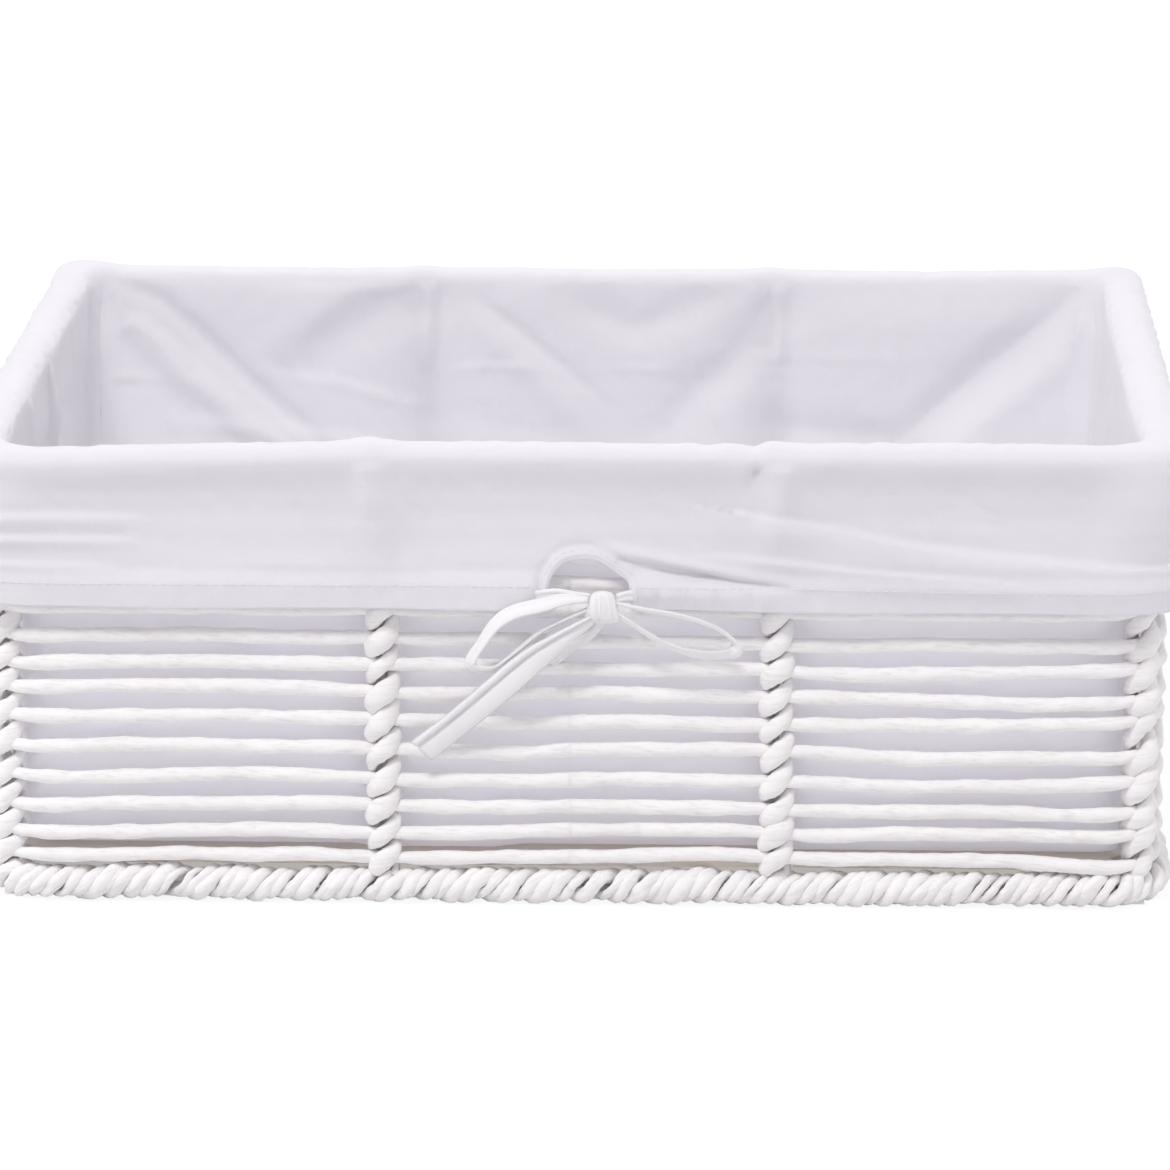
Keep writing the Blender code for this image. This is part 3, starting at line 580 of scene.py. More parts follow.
# Folds seen on the cloth: the line it follows (along the side, height), how far it stands out,
# and the widths of its flanks left and right of the line's run
BACK_WALL_FOLDS = (
    (((-180, 144), (-167, 133), (-156, 126), (-145, 115), (-136, 109), (-124, 98), (-106, 85)),
     3.0, 3.0, 6.5),
    (((-170, 147), (-154, 139), (-142, 128.5), (-127, 114), (-112, 101), (-96, 89)), -1.5, 3.6, 2.8),
    (((-181, 147), (-174, 143.5), (-164, 138)), 0.9, 2.0, 2.2),
    (((-182, 132), (-172, 130.5), (-165, 133.5), (-156, 133)), 0.5, 2.0, 2.6),
    (((-184, 113.5), (-174, 115), (-167, 114.6), (-156, 113.6)), 0.5, 1.3, 1.9),
    (((-62, 150), (-88, 146), (-103, 134), (-117, 118)), 1.0, 6.0, 14.0),
    (((-56, 143), (-78, 137), (-92, 127), (-108, 113)), -1.1, 9.0, 8.0),
    (((-114, 113), (-91, 111), (-71, 104.6), (-54, 102)), 0.45, 2.0, 2.6),
    (((-42, 141), (-27, 130), (-13, 118.5), (2, 105)), -0.7, 2.4, 2.2),
    (((-46, 134), (-31, 124), (-18, 111), (-6, 98)), 1.0, 4.0, 6.0),
    (((-53, 115.5), (-42, 117.5), (-21, 117.5), (-12, 116.5)), 0.30, 1.3, 2.0),
    (((-12, 141), (14, 131), (46, 143)), -1.1, 7.0, 6.0),
    (((64, 139), (55, 127), (46, 117), (34, 108), (27, 96)), -1.6, 8.0, 7.0),
    (((1, 116.8), (27, 117)), 0.2, 1.3, 1.6),
    (((47, 120.6), (80, 121.4), (117, 121.2)), 0.18, 1.3, 1.8),
    (((173, 142), (155, 129), (139, 116), (124, 103), (116, 92)), -2.0, 9.0, 8.0),
    (((176, 135), (156, 118), (136, 101), (124, 88)), 1.4, 7.0, 4.0),
    (((186, 150), (177, 138), (172, 131)), 2.0, 3.0, 3.0),
    (((-60, 152), (-60, 118)), 1.0, 2.6, 2.6),
    (((65, 152), (65, 116)), 1.1, 3.2, 2.2),
    (((-150, 98), (-120, 96), (-80, 88), (-50, 70)), 0.8, 3.0, 4.0),
    (((60, 96), (100, 92), (140, 74)), -1.2, 7.0, 6.0),
)
LEFT_WALL_FOLDS = (
    (((-9, 150), (-10, 122), (-9, 92)), -2.2, 2.2, 1.6), (((-4, 150), (-5, 122), (-4, 92)), 1.4, 2.0, 3.0),
    (((52, 148), (58, 126), (60, 96)), -1.0, 4.0, 4.0), (((-60, 148), (-56, 126), (-58, 96)), 1.0, 5.0, 4.0),
)
FRONT_SKIRT_FOLDS = (
    (((52, 129.5), (75, 125.6), (94, 121.8), (112, 118.6), (131, 116.4), (150, 114.6), (169, 112.8),
      (198, 110.6)), 6.2, 0.85, 12.0),
    (((46, 115.6), (58, 114.8), (70, 113.8), (88, 111.8), (113, 110.4), (134, 109.4)), 2.0, 0.9, 5.0),
    (((9, 118.4), (20, 116.4), (31, 114.0), (50, 110.8), (66, 109)), 1.5, 1.6, 2.6),
    (((16, 114.2), (24, 113.0), (31, 111.4), (50, 108.0), (68, 106.2)), -3.0, 1.2, 1.1),
    (((20, 111.8), (27, 110.8), (34, 109.4), (46, 108.4)), -1.8, 1.0, 0.9),
    (((18, 104.8), (40, 104.0), (68, 103.2)), 1.5, 3.6, 3.2),
    (((27, 107.6), (27.5, 101)), -1.0, 1.0, 1.0),
    (((36, 107.4), (36.4, 101)), -1.1, 1.0, 1.0),
    (((46, 106.4), (46.5, 100.5)), -0.9, 1.1, 1.1),
    (((57, 105.4), (57.2, 100.5)), -0.6, 1.3, 1.3),
    (((57.5, 152), (58.5, 129)), -2.4, 2.2, 1.8),
    (((67, 152), (66, 126)), 1.4, 3.0, 6.0),
    (((-66, 152), (-65, 126)), 1.4, 5.5, 2.2),
    (((-56, 147), (-55, 106)), -1.1, 3.0, 3.0),
    (((-215, 126), (-175, 126.6), (-136, 126)), 1.8, 1.4, 3.2),
    (((-215, 118.6), (-175, 119.6), (-138, 119)), 1.9, 1.3, 2.8),
    (((-215, 110.4), (-175, 111.4), (-146, 110.6)), 1.6, 1.3, 2.6),
    (((-128, 111), (-90, 112), (-40, 110.5)), 0.7, 2.5, 3.0),
    (((118, 139), (131, 128), (140, 122)), -0.4, 3.0, 4.0),
)
# Where the back wall's cloth leans into the basket below a line: two points of the line, how
# steeply the cloth leans, and how far in it comes
BACK_WALL_FACETS = (
    ((-186, 148), (-104, 82), 0.50, 13.0), ((108, 93), (178, 151), 0.55, 18.0),
    ((-112, 116), (-50, 101), 0.20, 3.0), ((26, 96), (62, 132), 0.16, 3.0),
)
# How far the slack back and right walls come in at their feet, and where the neighbours of the
# back wall and the front skirt meet them along X
BACK_DRAPE, RIGHT_DRAPE, NEIGHBOUR_AT = 11.0, 7.0, 182.4


def cotton(name, light, shade, yarn, sheer):
    """Plain weave cotton, thin enough to let some light through."""
    material, start = new_material(name)
    cut = start.node("ShaderNodeUVMap", {"uv_map": "cut"})
    place = start.node("ShaderNodeTexCoord", out="Object")
    split = start.node("ShaderNodeSeparateXYZ", inputs={0: cut})
    runs = split, split.output("Y")
    warp, weft = (start.maths("SINE", run * (2 * math.pi / yarn)) for run in runs)
    odd_warp, odd_weft = (start.maths("SINE", run * (math.pi / yarn)) for run in runs)
    over = start.maths("GREATER_THAN", odd_warp * odd_weft, 0.0)
    slub = noise(stretched(cut, (0.08, 1, 1)), 900.0, 2.0)
    rumple, tone = noise(place, 95.0, 4.0, 0.55), noise(place, 16.0, 2.0)
    colour = (tone * 0.5 + slub * 0.25 - 0.2).mixed(light, shade)
    threads = relief(over * warp + (1 - over) * weft + slub * 0.6, 0.12, 0.0001)
    creases = relief(rumple, 0.40, 0.0012, Normal=threads)
    face = start.node("ShaderNodeBsdfPrincipled", inputs={
        "Base Color": colour, "Roughness": 0.82 + rumple * 0.15, "Specular IOR Level": 0.25,
        "Sheen Weight": 0.15, "Sheen Roughness": 0.5, "Normal": creases})
    through = start.node("ShaderNodeBsdfTranslucent", inputs={"Color": colour, "Normal": creases})
    start.finish(sheer, face, through)
    return material


def cloth_piece(name, points, faces, cut, material):
    """A piece of cloth. Its cut map holds where each point lies on the flat cloth."""
    mesh = bpy.data.meshes.new(name)
    mesh.from_pydata([tuple(map(float, point)) for point in points], [], faces)
    loops = np.array([loop.vertex_index for loop in mesh.loops])
    mesh.uv_layers.new(name="cut").data.foreach_set("uv", np.asarray(cut, float)[loops].ravel())
    return add_object(name, mesh, material)


def grid_faces(rows, columns):
    index = np.arange(rows * columns).reshape(rows, columns)
    return np.stack((index[:-1, 1:], index[:-1, :-1], index[1:, :-1], index[1:, 1:]), -1).reshape(-1, 4)


def step_up(value, low, high):
    share = np.clip((value - low) / (high - low), 0, 1)
    return share * share * (3 - 2 * share)


def smooth_line(points, steps):
    """Points of a smooth curve through the given ones."""
    ctrl = [np.array(point, float) for point in points]
    ctrl = [2 * ctrl[0] - ctrl[1], *ctrl, 2 * ctrl[-1] - ctrl[-2]]
    line = []
    for a, b, c, d in zip(ctrl, ctrl[1:], ctrl[2:], ctrl[3:]):
        slope, bow, twist = c - a, 2 * a - 5 * b + 4 * c - d, 3 * b - a - 3 * c + d
        line += [0.5 * (2 * b + slope * t + bow * t ** 2 + twist * t ** 3) for t in np.arange(steps) / steps]
    return np.array(line + [ctrl[-2]])


def smooth_noise(seed, u, z, reach):
    """Slow random rise and fall of slack cloth, about 1 either way."""
    dice = np.random.default_rng(seed)
    total = np.zeros(np.broadcast(u, z).shape)
    for _ in range(14):
        spin, wave = dice.uniform(0, math.pi), 2 * math.pi / (reach * dice.uniform(0.6, 1.7))
        size, begin = dice.uniform(0.3, 1.0), dice.uniform(0, 6.3)
        total += size * np.sin(wave * (u * math.cos(spin) + z * math.sin(spin)) + begin)
    return total / 3


def from_piece(along, height, a, b):
    """The way from a straight piece of a line to each place: share along the piece, and gap."""
    run = np.array(b) - np.array(a)
    rel_u, rel_z = along - a[0], height - a[1]
    share = np.clip((rel_u * run[0] + rel_z * run[1]) / (run @ run), 0, 1)
    left = run[0] * rel_z - run[1] * rel_u > 0
    return share, np.hypot(rel_u - share * run[0], rel_z - share * run[1]), left


def fold_height(along, height, fold):
    """Height of one soft ridge over a grid of places, fading out at both of its ends."""
    line, stand, left_width, right_width = fold
    nearest, lift = np.full(height.shape, np.inf), np.zeros(height.shape)
    lengths = [math.dist(a, b) for a, b in zip(line, line[1:])]
    for k, length in enumerate(lengths):
        share, gap, left = from_piece(along, height, line[k], line[k + 1])
        place = np.clip((sum(lengths[:k]) + share * length) / sum(lengths), 0.03, 0.97)
        here = stand * np.exp(-(gap / np.where(left, left_width, right_width)) ** 2)
        lift = np.where(gap < nearest, here * np.sin(math.pi * place) ** 0.45, lift)
        nearest = np.minimum(nearest, gap)
    return lift


def all_folds(along, height, folds):
    return sum(fold_height(along, height, fold) for fold in folds)


def facet_height(along, height, facet):
    """How far the cloth stands in below a line, easing from the line's crease to flat."""
    (ax, az), (bx, bz), slope, most = facet
    below = ((along - ax) * (bz - az) - (height - az) * (bx - ax)) / math.hypot(bx - ax, bz - az)
    below = np.maximum(below, 0)
    return most * (1 - np.exp(-slope * (below ** 2 / (below + 0.6)) / most))


def chance_folds(seed, half, low, high, count):
    """Folds like the seen ones for a side that the photograph doesn't show."""
    dice = np.random.default_rng(seed)
    made = []
    for _ in range(count):
        u, z = dice.uniform(-half, half), dice.uniform(low + 8, high)
        reach, lean = dice.uniform(14, 42), dice.uniform(0.3, 1.3) * dice.choice((-1, 1))
        across, drop = reach * math.cos(lean), abs(reach * math.sin(lean))
        middle = (u + across / 2, z - drop / 2 + dice.uniform(-4, 4))
        stand = dice.uniform(0.7, 2.0) * dice.choice((-1, 1))
        left, right = dice.uniform(2.5, 8), dice.uniform(2.5, 8)
        made.append((((u, z), middle, (u + across, z - drop)), stand, left, right))
    return made


class LinerSide:
    """A side of the liner seen from above: its columns of cloth, from one corner seam to the other."""

    def __init__(self, name, seed, angle, half, depth, sign, posts):
        self.name, self.seed, self.half, self.posts = name, seed, half, posts
        turn = math.radians(angle)
        self.facing = np.array((math.cos(turn), math.sin(turn)))
        self.run = np.array((-self.facing[1], self.facing[0]))
        places = np.linspace(-half, half, round(2 * half / CLOTH_STEP) + 1)
        if name == "front":
            clear = (places <= arch_x[0] - CLOTH_STEP / 2) | (places >= arch_x[-1] + CLOTH_STEP / 2)
            places = np.sort(np.concatenate((places[clear], arch_x)))
        bends = np.linspace(-math.pi / 4, 0, 11)[:-1]
        ends = np.full(len(bends), half)
        self.u = np.concatenate((-ends, places, ends))
        self.bend = np.concatenate((bends, np.zeros(len(places)), -bends[::-1]))
        self.out = np.stack((np.cos(turn + self.bend), np.sin(turn + self.bend)), 1)
        self.base = self.facing * depth + self.run * self.u[:, None]
        self.line = self.base + self.out * CORNER_RADIUS
        self.walk = self.u + self.bend * CORNER_RADIUS
        self.along = sign * self.walk * 1000
        # Near a corner the folds follow the distance from its seam, so that both panels agree there
        self.reach = np.abs(self.u) + np.abs(self.bend) * CORNER_RADIUS
        self.seam = (half + math.pi / 4 * CORNER_RADIUS - self.reach) * 1000
        self.corner = step_up(self.reach, half - 0.004, half + 0.011)
        self.corner_seeds = [700 + round((angle + side) / 90 - 0.5) % 4 for side in (-45, 45)]
        # The cloth is loose between the posts, and free where it is clear of the corners too
        self.loose = np.clip(1 - sum(np.exp(-((self.along - post) / 9.0) ** 2) for post in posts), 0, 1)
        self.free = self.loose * (1 - self.corner)
        self.hem = HEM_Z + 0.0003 * np.sin(self.along / 17 + seed)
        self.beside_arch = np.full(len(self.u), np.inf)
        if name == "front":
            arched = (self.bend == 0) & (self.u >= arch_x[0]) & (self.u <= arch_x[-1])
            self.hem = np.where(arched, np.interp(self.u, arch_x, arch_z), self.hem)
            self.beside_arch = np.maximum(np.maximum(arch_x[0] - self.u, self.u - arch_x[-1]), 0) * 1000

    def corner_noise(self, height, reach, shift=0):
        """Noise by the distance from the seam, the same on both sides of it."""
        left, right = (smooth_noise(key + shift, self.seam + 0 * height, height, reach)
                       for key in self.corner_seeds)
        return np.where(self.u > 0, right, left)

    def ruffled(self, height, seed, wide, fine):
        """Slack cloth's unevenness, blended into its corners' own."""
        middle = wide * smooth_noise(seed, self.along, height, 50)
        middle = middle + fine * smooth_noise(seed + 1, self.along, height, 12)
        return middle * (1 - self.corner) + 1.3 * wide * self.corner_noise(height, 34) * self.corner


def side_path(side):
    """The cloth's path from the floor seam to the hem: kinds of rows, their offsets and heights in metres."""
    name, loose, tuck = side.name, side.loose, 1.0
    if name == "front":
        tuck = step_up(side.along, -28, -14) * (1 - step_up(side.along, 64, 72))
        tuck = tuck + (1 - step_up(side.along, -72, -62)) * 0.8
    rows = []
    for straight, tucked in zip(FOOT_OUT, FOOT_IN):
        rows.append(("wall", *((low + (high - low) * tuck) / 1000 for low, high in zip(straight, tucked))))
    for level in np.linspace(WALL_FOOT_Z, CROWN_Z, 96):
        rise = loose * step_up(level, 0.070, CROWN_Z) + (1 - loose) * step_up(level, 0.126, 0.139)
        rows.append(("wall", WALL_IN + (RIM_IN - WALL_IN) * rise, level))
    middle, wide = (RIM_IN + RIM_OUT) / 2, (RIM_OUT - RIM_IN) / 2
    # The back rim falls off outward, so little of its top shows from the front
    sharp = (1 - side.corner) * (name == "back")
    blunt = 0.66 + 0.19 * (1 - side.corner) * (name in ("left", "right"))
    for t in np.linspace(0, math.pi, 26)[1:-1]:
        outer, ahead = t > math.pi / 2, math.cos(t)
        foot = OVERHANG_Z if outer else CROWN_Z
        across = math.copysign(1, ahead) * abs(ahead) ** (blunt - 0.20 * sharp * outer)
        rise = math.sin(t) ** (0.85 - 0.20 * sharp)
        level = foot + (CROWN_TOP_Z - foot) * rise - 0.0007 * sharp * rise * (1 - ahead)
        rows.append(("crown", middle - wide * across, level))
    for share in np.linspace(0, 1, 72 if name == "front" else 40):
        level = np.maximum(OVERHANG_Z + (HEM_Z - 0.0002 - OVERHANG_Z) * share, side.hem)
        rows.append(("skirt", SKIRT_OUT, level if share < 1 else side.hem))
    kinds, *grids = zip(*rows)
    return np.array(kinds), *(np.array([np.broadcast_to(row, len(side.u)) for row in grid]) for grid in grids)


def lean_in(side, height):
    """How far a wall slides into the basket along X and Y, in metres."""
    slide = np.zeros((*height.shape, 2))
    down, foot = np.clip((151.5 - height) / 123, 0, 1), step_up(height, 14, 82)
    # The back wall leans in whole, from corner to corner, and draws its neighbours' ends along
    if side.name != "front":
        near = (1 - step_up(side.seam, 0, 48)) * (side.u * side.run[1] > 0)
        at, loose = NEIGHBOUR_AT * side.facing[0], 1
        if side.name == "back":
            near, at, loose = 1, side.along, side.loose
        facets = sum(facet_height(at, height, facet) for facet in BACK_WALL_FACETS)
        hang = BACK_DRAPE * down ** 0.6 * foot * loose
        slide[..., 1] = -near * (facets * (1 - step_up(height, 132, 149)) * foot + hang) / 1000
    if side.name == "right":
        slide[..., 0] = -RIGHT_DRAPE * down ** 0.45 * foot * step_up(side.seam, 0, 60) / 1000
    return slide


def wall_shift(side, height, slack, folds, slide):
    """How far a wall stands off its path, in metres: its folds, its slack and the rear corners' seams."""
    # Folds stand into the basket, and sink back only as far as the wall hangs clear of the posts
    lift = 2.1 * all_folds(side.along, height, folds)
    lift = lift * (1 - step_up(side.reach, side.half + 0.003, side.half + 0.0155))
    lift = lift + side.ruffled(height, side.seed, 0.35, 0.10)
    if slack:
        lift = lift * (0.4 + 0.6 * step_up(height, 110, 130))
    lift = lift * step_up(height, 14.5, 40) * (1 - step_up(height, 143, 149))
    room = np.linalg.norm(slide, axis=2) * 850 * (side.name == "back")
    hang = slack * side.free * (1 - step_up(height, 116, 132)) * step_up(height, 14.6, 22)
    shift = -(np.maximum(lift, -0.3 - room) + hang) / 1000
    if side.name == "front":
        return shift
    right = side.base[:, 0] > 0
    valley = np.where(right, 0.0014, 0.0008) * np.exp(-(side.seam / np.where(right, 1.5, 2.6)) ** 2)
    return shift + valley * step_up(height, 20, 40) * (1 - step_up(height, 134, 144)) * (side.line[:, 1] > 0)


def skirt_offset(side, height, folds):
    """How far out the skirt hangs, in metres: in under the rim, pressed on the rows, out over the channel."""
    hang = smooth_line(SKIRT_HANG[::-1], 8)
    hang = np.interp(height, hang[:, 0], hang[:, 1]) / 1000
    taut = SKIRT_OUT + (RIM_OUT - SKIRT_OUT) * step_up(height, 139, 147.4)
    lift = all_folds(side.along, height, folds)
    if side.name != "front":
        lift = lift * (1 - side.corner)
    if side.name in ("left", "right"):
        # The front's folds run on round its corners
        near = (1 - step_up(side.seam, 0, 34)) * (side.u * side.run[1] < 0)
        lift = lift + all_folds(NEIGHBOUR_AT * side.facing[0], height, FRONT_SKIRT_FOLDS) * near
    covered = [1000 * (ROW_FIRST_Z + ROW_PITCH * row) for row in range(len(ROW_BENDS), ROW_COUNT)]
    lift = lift + 0.22 * sum(np.exp(-((height - row_z) / 2.3) ** 2) for row_z in covered)
    lift = lift + side.ruffled(height, side.seed + 2, 0.34, 0.12)
    lift = lift * step_up(1000 * OVERHANG_Z - height, 0, 4)
    edge = height - HEM_Z * 1000
    casing = 0.72 * step_up(12.2 - edge, 0, 5.6) + 0.28 * np.clip((6.6 - edge) / 6.6, 0, 1)
    casing = casing * step_up(side.beside_arch, 0, 2.2)
    # The drawstring gathers the channel finely, most of all beside the bow
    gather = 0.22 * np.sin(side.along / 1.35 + 2 * smooth_noise(side.seed + 4, side.along, height, 22))
    beside_bow = np.exp(-((side.along - 10) / 60) ** 2) * (side.name == "front")
    gather = gather * casing * (0.3 + 0.7 * beside_bow) * (1 - side.corner)
    offset = hang * side.free + taut * (1 - side.free)
    offset = offset + (lift + gather) / 1000 + casing * (CHANNEL_OUT - SKIRT_OUT)
    offset = np.maximum(offset, 0.0031 + (1 - side.free) * 0.0025)
    if side.name == "front":
        # A rolled edge round the arch, and the dent of its stitching
        gaps = [from_piece(side.along, height, a, b)[1] for a, b in zip(arch_edge, arch_edge[1:])]
        gap = np.min(gaps, axis=0)
        offset +=0.0011 * np.exp(-((gap - 0.9) / 1.1) ** 2) - 0.0006 * np.exp(-((gap - 3.6) / 1.2) ** 2)
    return offset


def rim_rise(side):
    """How far the cloth rises over the rim: a small bump at each post, and slow waves between them."""
    flat, along, free = 0 * side.along, side.along, 1 - side.corner
    rise = (0.35 * smooth_noise(side.seed + 5, along, flat, 70)
            + 0.20 * smooth_noise(side.seed + 6, along, flat, 13)) * free
    rise = rise + 0.5 * side.corner_noise(flat, 26, 40) * side.corner
    rise = rise + sum(np.exp(-((along - post + 3) / 6.0) ** 2) for post in side.posts)
    if side.name == "front":
        rise = rise - 1.6 * np.exp(-((along - 57.5) / 3.0) ** 2)
        rise = rise + 0.9 * np.exp(-((along + 66) / 6.5) ** 2) * (along < -60)
    return rise + np.where(side.line[:, 1] > 0, 1.8, 0.5) * np.exp(-(side.seam / 7) ** 2)


HEM_RISES = (0.1, 0.25, 0.4, 0.55, 0.7, 0.85, 1.0)
HEM_NEAR = np.array((-0.0012, -0.0006, 0, 0.0006, 0.0012))


def turned_hem(side, z, offset):
    """Rows of the turned hem, in metres: round the fold and up behind the drawstring."""
    rows = []
    for t in np.linspace(0, math.pi, 7)[1:-1]:
        back = offset[-1] + (CHANNEL_BACK - offset[-1]) * (1 - math.cos(t)) / 2
        rows.append((back, side.hem - 0.0007 * math.sin(t)))
    for rise in HEM_RISES:
        level = side.hem + rise * np.where(side.beside_arch > 0, CHANNEL_HEIGHT, 0.0022)
        # It stays behind the skirt's own cloth
        cover = [np.interp(level[k] + HEM_NEAR, z[::-1, k], offset[::-1, k]).min() for k in range(len(level))]
        rows.append((np.minimum(CHANNEL_BACK, np.array(cover) - 0.0005), level))
    return [np.array(grid) for grid in zip(*rows)]


def stitch_line(side, z, offset, places):
    """A line of stitches over the skirt, from its places (along, height) in metres."""
    line = []
    for place, level in places:
        k = int(np.clip(np.searchsorted(side.walk, place) - 1, 0, len(side.walk) - 2))
        share = np.clip((place - side.walk[k]) / max(side.walk[k + 1] - side.walk[k], 1e-9), 0, 1)
        outs = [np.interp(level, z[::-1, j], offset[::-1, j]) + STITCH_LIFT for j in (k, k + 1)]
        here, there = (side.line[k + j] + side.out[k + j] * outs[j] for j in (0, 1))
        line.append((*(here * (1 - share) + there * share), level))
    return line


def sew_side(side, slack, wall_folds, skirt_folds):
    """Makes one side of the liner, and gives the lines of its hem's stitches."""
    kind, offset, z = side_path(side)
    height = z * 1000
    wall, crown, skirt = (kind == part for part in ("wall", "crown", "skirt"))
    inner = wall | (crown & (offset[:, 0] < 0))
    slide = np.zeros((*z.shape, 2))
    slide[inner] = lean_in(side, height[inner])
    offset[wall] += wall_shift(side, height[wall], slack, wall_folds, slide[wall])
    offset[skirt] = skirt_offset(side, height[skirt], skirt_folds)
    bulge = CORNER_BULGE * np.exp(-(side.seam / 8) ** 2)
    offset[crown] += bulge * step_up(offset[crown], -0.004, RIM_OUT)
    offset[skirt] += bulge * (0.4 + 0.6 * step_up(height[skirt], 100, 145))
    top = np.clip((height[crown] - 1000 * CROWN_Z) / 5, 0, 1)
    z[crown] += rim_rise(side) * top / 1000
    if side.name in ("left", "right"):
        waves = 0.0007 * smooth_noise(side.seed + 7, side.along, 2 * height[crown], 9)
        offset[crown] += waves * (1 - side.corner) * np.sin(math.pi * top / 2)
    z -= rim_sag(*side.line.T) * step_up(z, 0.128, 0.146)
    skirt_z, skirt_out = z[skirt], offset[skirt]
    turned_offset, turned_z = turned_hem(side, skirt_z, skirt_out)
    offset, z = np.concatenate((offset, turned_offset)), np.concatenate((z, turned_z))
    points = np.concatenate((side.line + side.out * offset[:, :, None], z[:, :, None]), 2)
    points[:len(slide), :, :2] += slide
    lengths = np.linalg.norm(np.diff(points, axis=0), axis=2).mean(1)
    cut_v = np.concatenate(((0,), np.cumsum(lengths)))
    cut = np.stack(np.broadcast_arrays(side.walk[None, :], cut_v[:, None]), -1).reshape(-1, 2)
    panel = cloth_piece(f"liner_{side.name}_cloth", points.reshape(-1, 3), grid_faces(*z.shape).tolist(), cut,
                        liner_cotton)
    panel.data.materials.append(hem_cotton)
    for polygon in panel.data.polygons[(len(z) - len(HEM_RISES)) * (len(side.u) - 1):]:
        polygon.material_index = 1
    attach(panel, "liner")
    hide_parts(f"liner_{side.name}_panel")
    width = 2 * side.half + math.pi / 2 * CORNER_RADIUS

    # The stitching runs along the channel's top and round the arch
    stops, level = [(side.walk[0], side.walk[-1])], HEM_Z + CHANNEL_HEIGHT - 0.0006
    if side.name == "front":
        stops = [(side.walk[0], arch_x[0] - 0.004), (arch_x[-1] + 0.004, side.walk[-1])]
    lines = [[(place, level) for place in np.linspace(low, high, 160)] for low, high in stops]
    if side.name == "front":
        ahead = np.gradient(arch_edge, axis=0)
        aside = np.stack((-ahead[:, 1], ahead[:, 0]), 1) / np.linalg.norm(ahead, axis=1)[:, None]
        lines.append((arch_edge + 2.1 * aside)[3:-3] / 1000)
    return [stitch_line(side, skirt_z, skirt_out, line) for line in lines]


liner_cotton = cotton("plain_weave_cotton", COTTON_LIGHT, COTTON_SHADE, YARN, SHEER)
hem_cotton = cotton("turned_hem_cotton", COTTON_LIGHT, COTTON_SHADE, YARN, HEM_SHEER)
arch_edge = smooth_line(ARCH_LINE, 3)
arch_x, arch_z = arch_edge.T / 1000
hem_stitching = []
# Angle, half length, half depth, which way the places along it run, and posts; then the wall's
# slack, and the folds of the wall and of the skirt
for number, (name, plan, slack, wall_folds, skirt_folds) in enumerate((
    ("front", (-90, STRAIGHT_X, STRAIGHT_Y, 1, (-60, 65)), -3.4,
     chance_folds(3, 150, 60, 140, 10), FRONT_SKIRT_FOLDS),
    ("right", (0, STRAIGHT_Y, STRAIGHT_X, 1, (0,)), 0.0,
     chance_folds(5, 105, 60, 120, 5), chance_folds(6, 110, 108, 136, 5)),
    ("back", (90, STRAIGHT_X, STRAIGHT_Y, -1, (-60, 65)), 0.0,
     BACK_WALL_FOLDS, chance_folds(8, 160, 108, 136, 8)),
    ("left", (180, STRAIGHT_Y, STRAIGHT_X, -1, (0,)), -2.6,
     LEFT_WALL_FOLDS, chance_folds(10, 110, 108, 136, 5)),
)):
    side = LinerSide(name, 100 + 10 * number, *plan)
    hem_stitching += sew_side(side, slack, wall_folds, skirt_folds)


# ---- Hem stitching ----
# White thread along the top of the channel and round the arch, in 2.1 mm stitches.
STITCH_STEP, STITCH_LENGTH, THREAD_THICK = 0.0028, 0.0021, 0.00034
THREAD_LIGHT, THREAD_SHADE = (0.93, 0.92, 0.955, 1), (0.80, 0.785, 0.83, 1)

thread, start = new_material("sewing_thread")
plied = noise(start.node("ShaderNodeTexCoord", out="Object"), 5200.0, 2.0)
coat(start, {
    "Base Color": plied.mixed(THREAD_LIGHT, THREAD_SHADE),
    "Roughness": 0.5 + plied * 0.2,
    "Normal": relief(plied, 0.3, 0.0001),
})


def stitch_tree():
    """Lays a small spindle of thread at every step of a line."""
    start, given = shape_tree("stitches", (), ("Step", "Length", "Thick"))
    line = start.node("GeometryNodeMeshToCurve", inputs={0: given["Geometry"]})
    spots = start.node("GeometryNodeCurveToPoints", {"mode": "LENGTH"}, {
        "Curve": line, "Length": given["Step"]})
    spindle = start.node("GeometryNodeMeshUVSphere", inputs={"Segments": 6, "Rings": 4, "Radius": 0.5})
    size = start.node("ShaderNodeCombineXYZ", inputs={
        0: given["Thick"], 1: given["Thick"], 2: given["Length"]})
    laid = start.node("GeometryNodeInstanceOnPoints", inputs={
        "Points": spots, "Instance": spindle, "Rotation": spots.output("Rotation"), "Scale": size})
    return end_shape(start, laid, given["Material"])


stitch_points, stitch_links = [], []
for line in hem_stitching:
    stitch_links += [(len(stitch_points) + k, len(stitch_points) + k + 1) for k in range(len(line) - 1)]
    stitch_points += [tuple(map(float, point)) for point in line]
stitch_mesh = bpy.data.meshes.new("hem_stitches")
stitch_mesh.from_pydata(stitch_points, stitch_links, [])
hem_stitches = run_tree(add_object("hem_stitches", stitch_mesh, thread, False), stitch_tree(), {
    "Step": STITCH_STEP, "Length": STITCH_LENGTH, "Thick": THREAD_THICK, "Material": thread})
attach(hem_stitches, "liner")


# ---- Liner floor ----
# One rectangle of the same cotton, sewn to the four sides, which lies slack on the board.
FLOOR_HALF_X, FLOOR_HALF_Y, FLOOR_Z, FLOOR_EDGE = 0.1662, 0.1147, 0.0144, 0.02

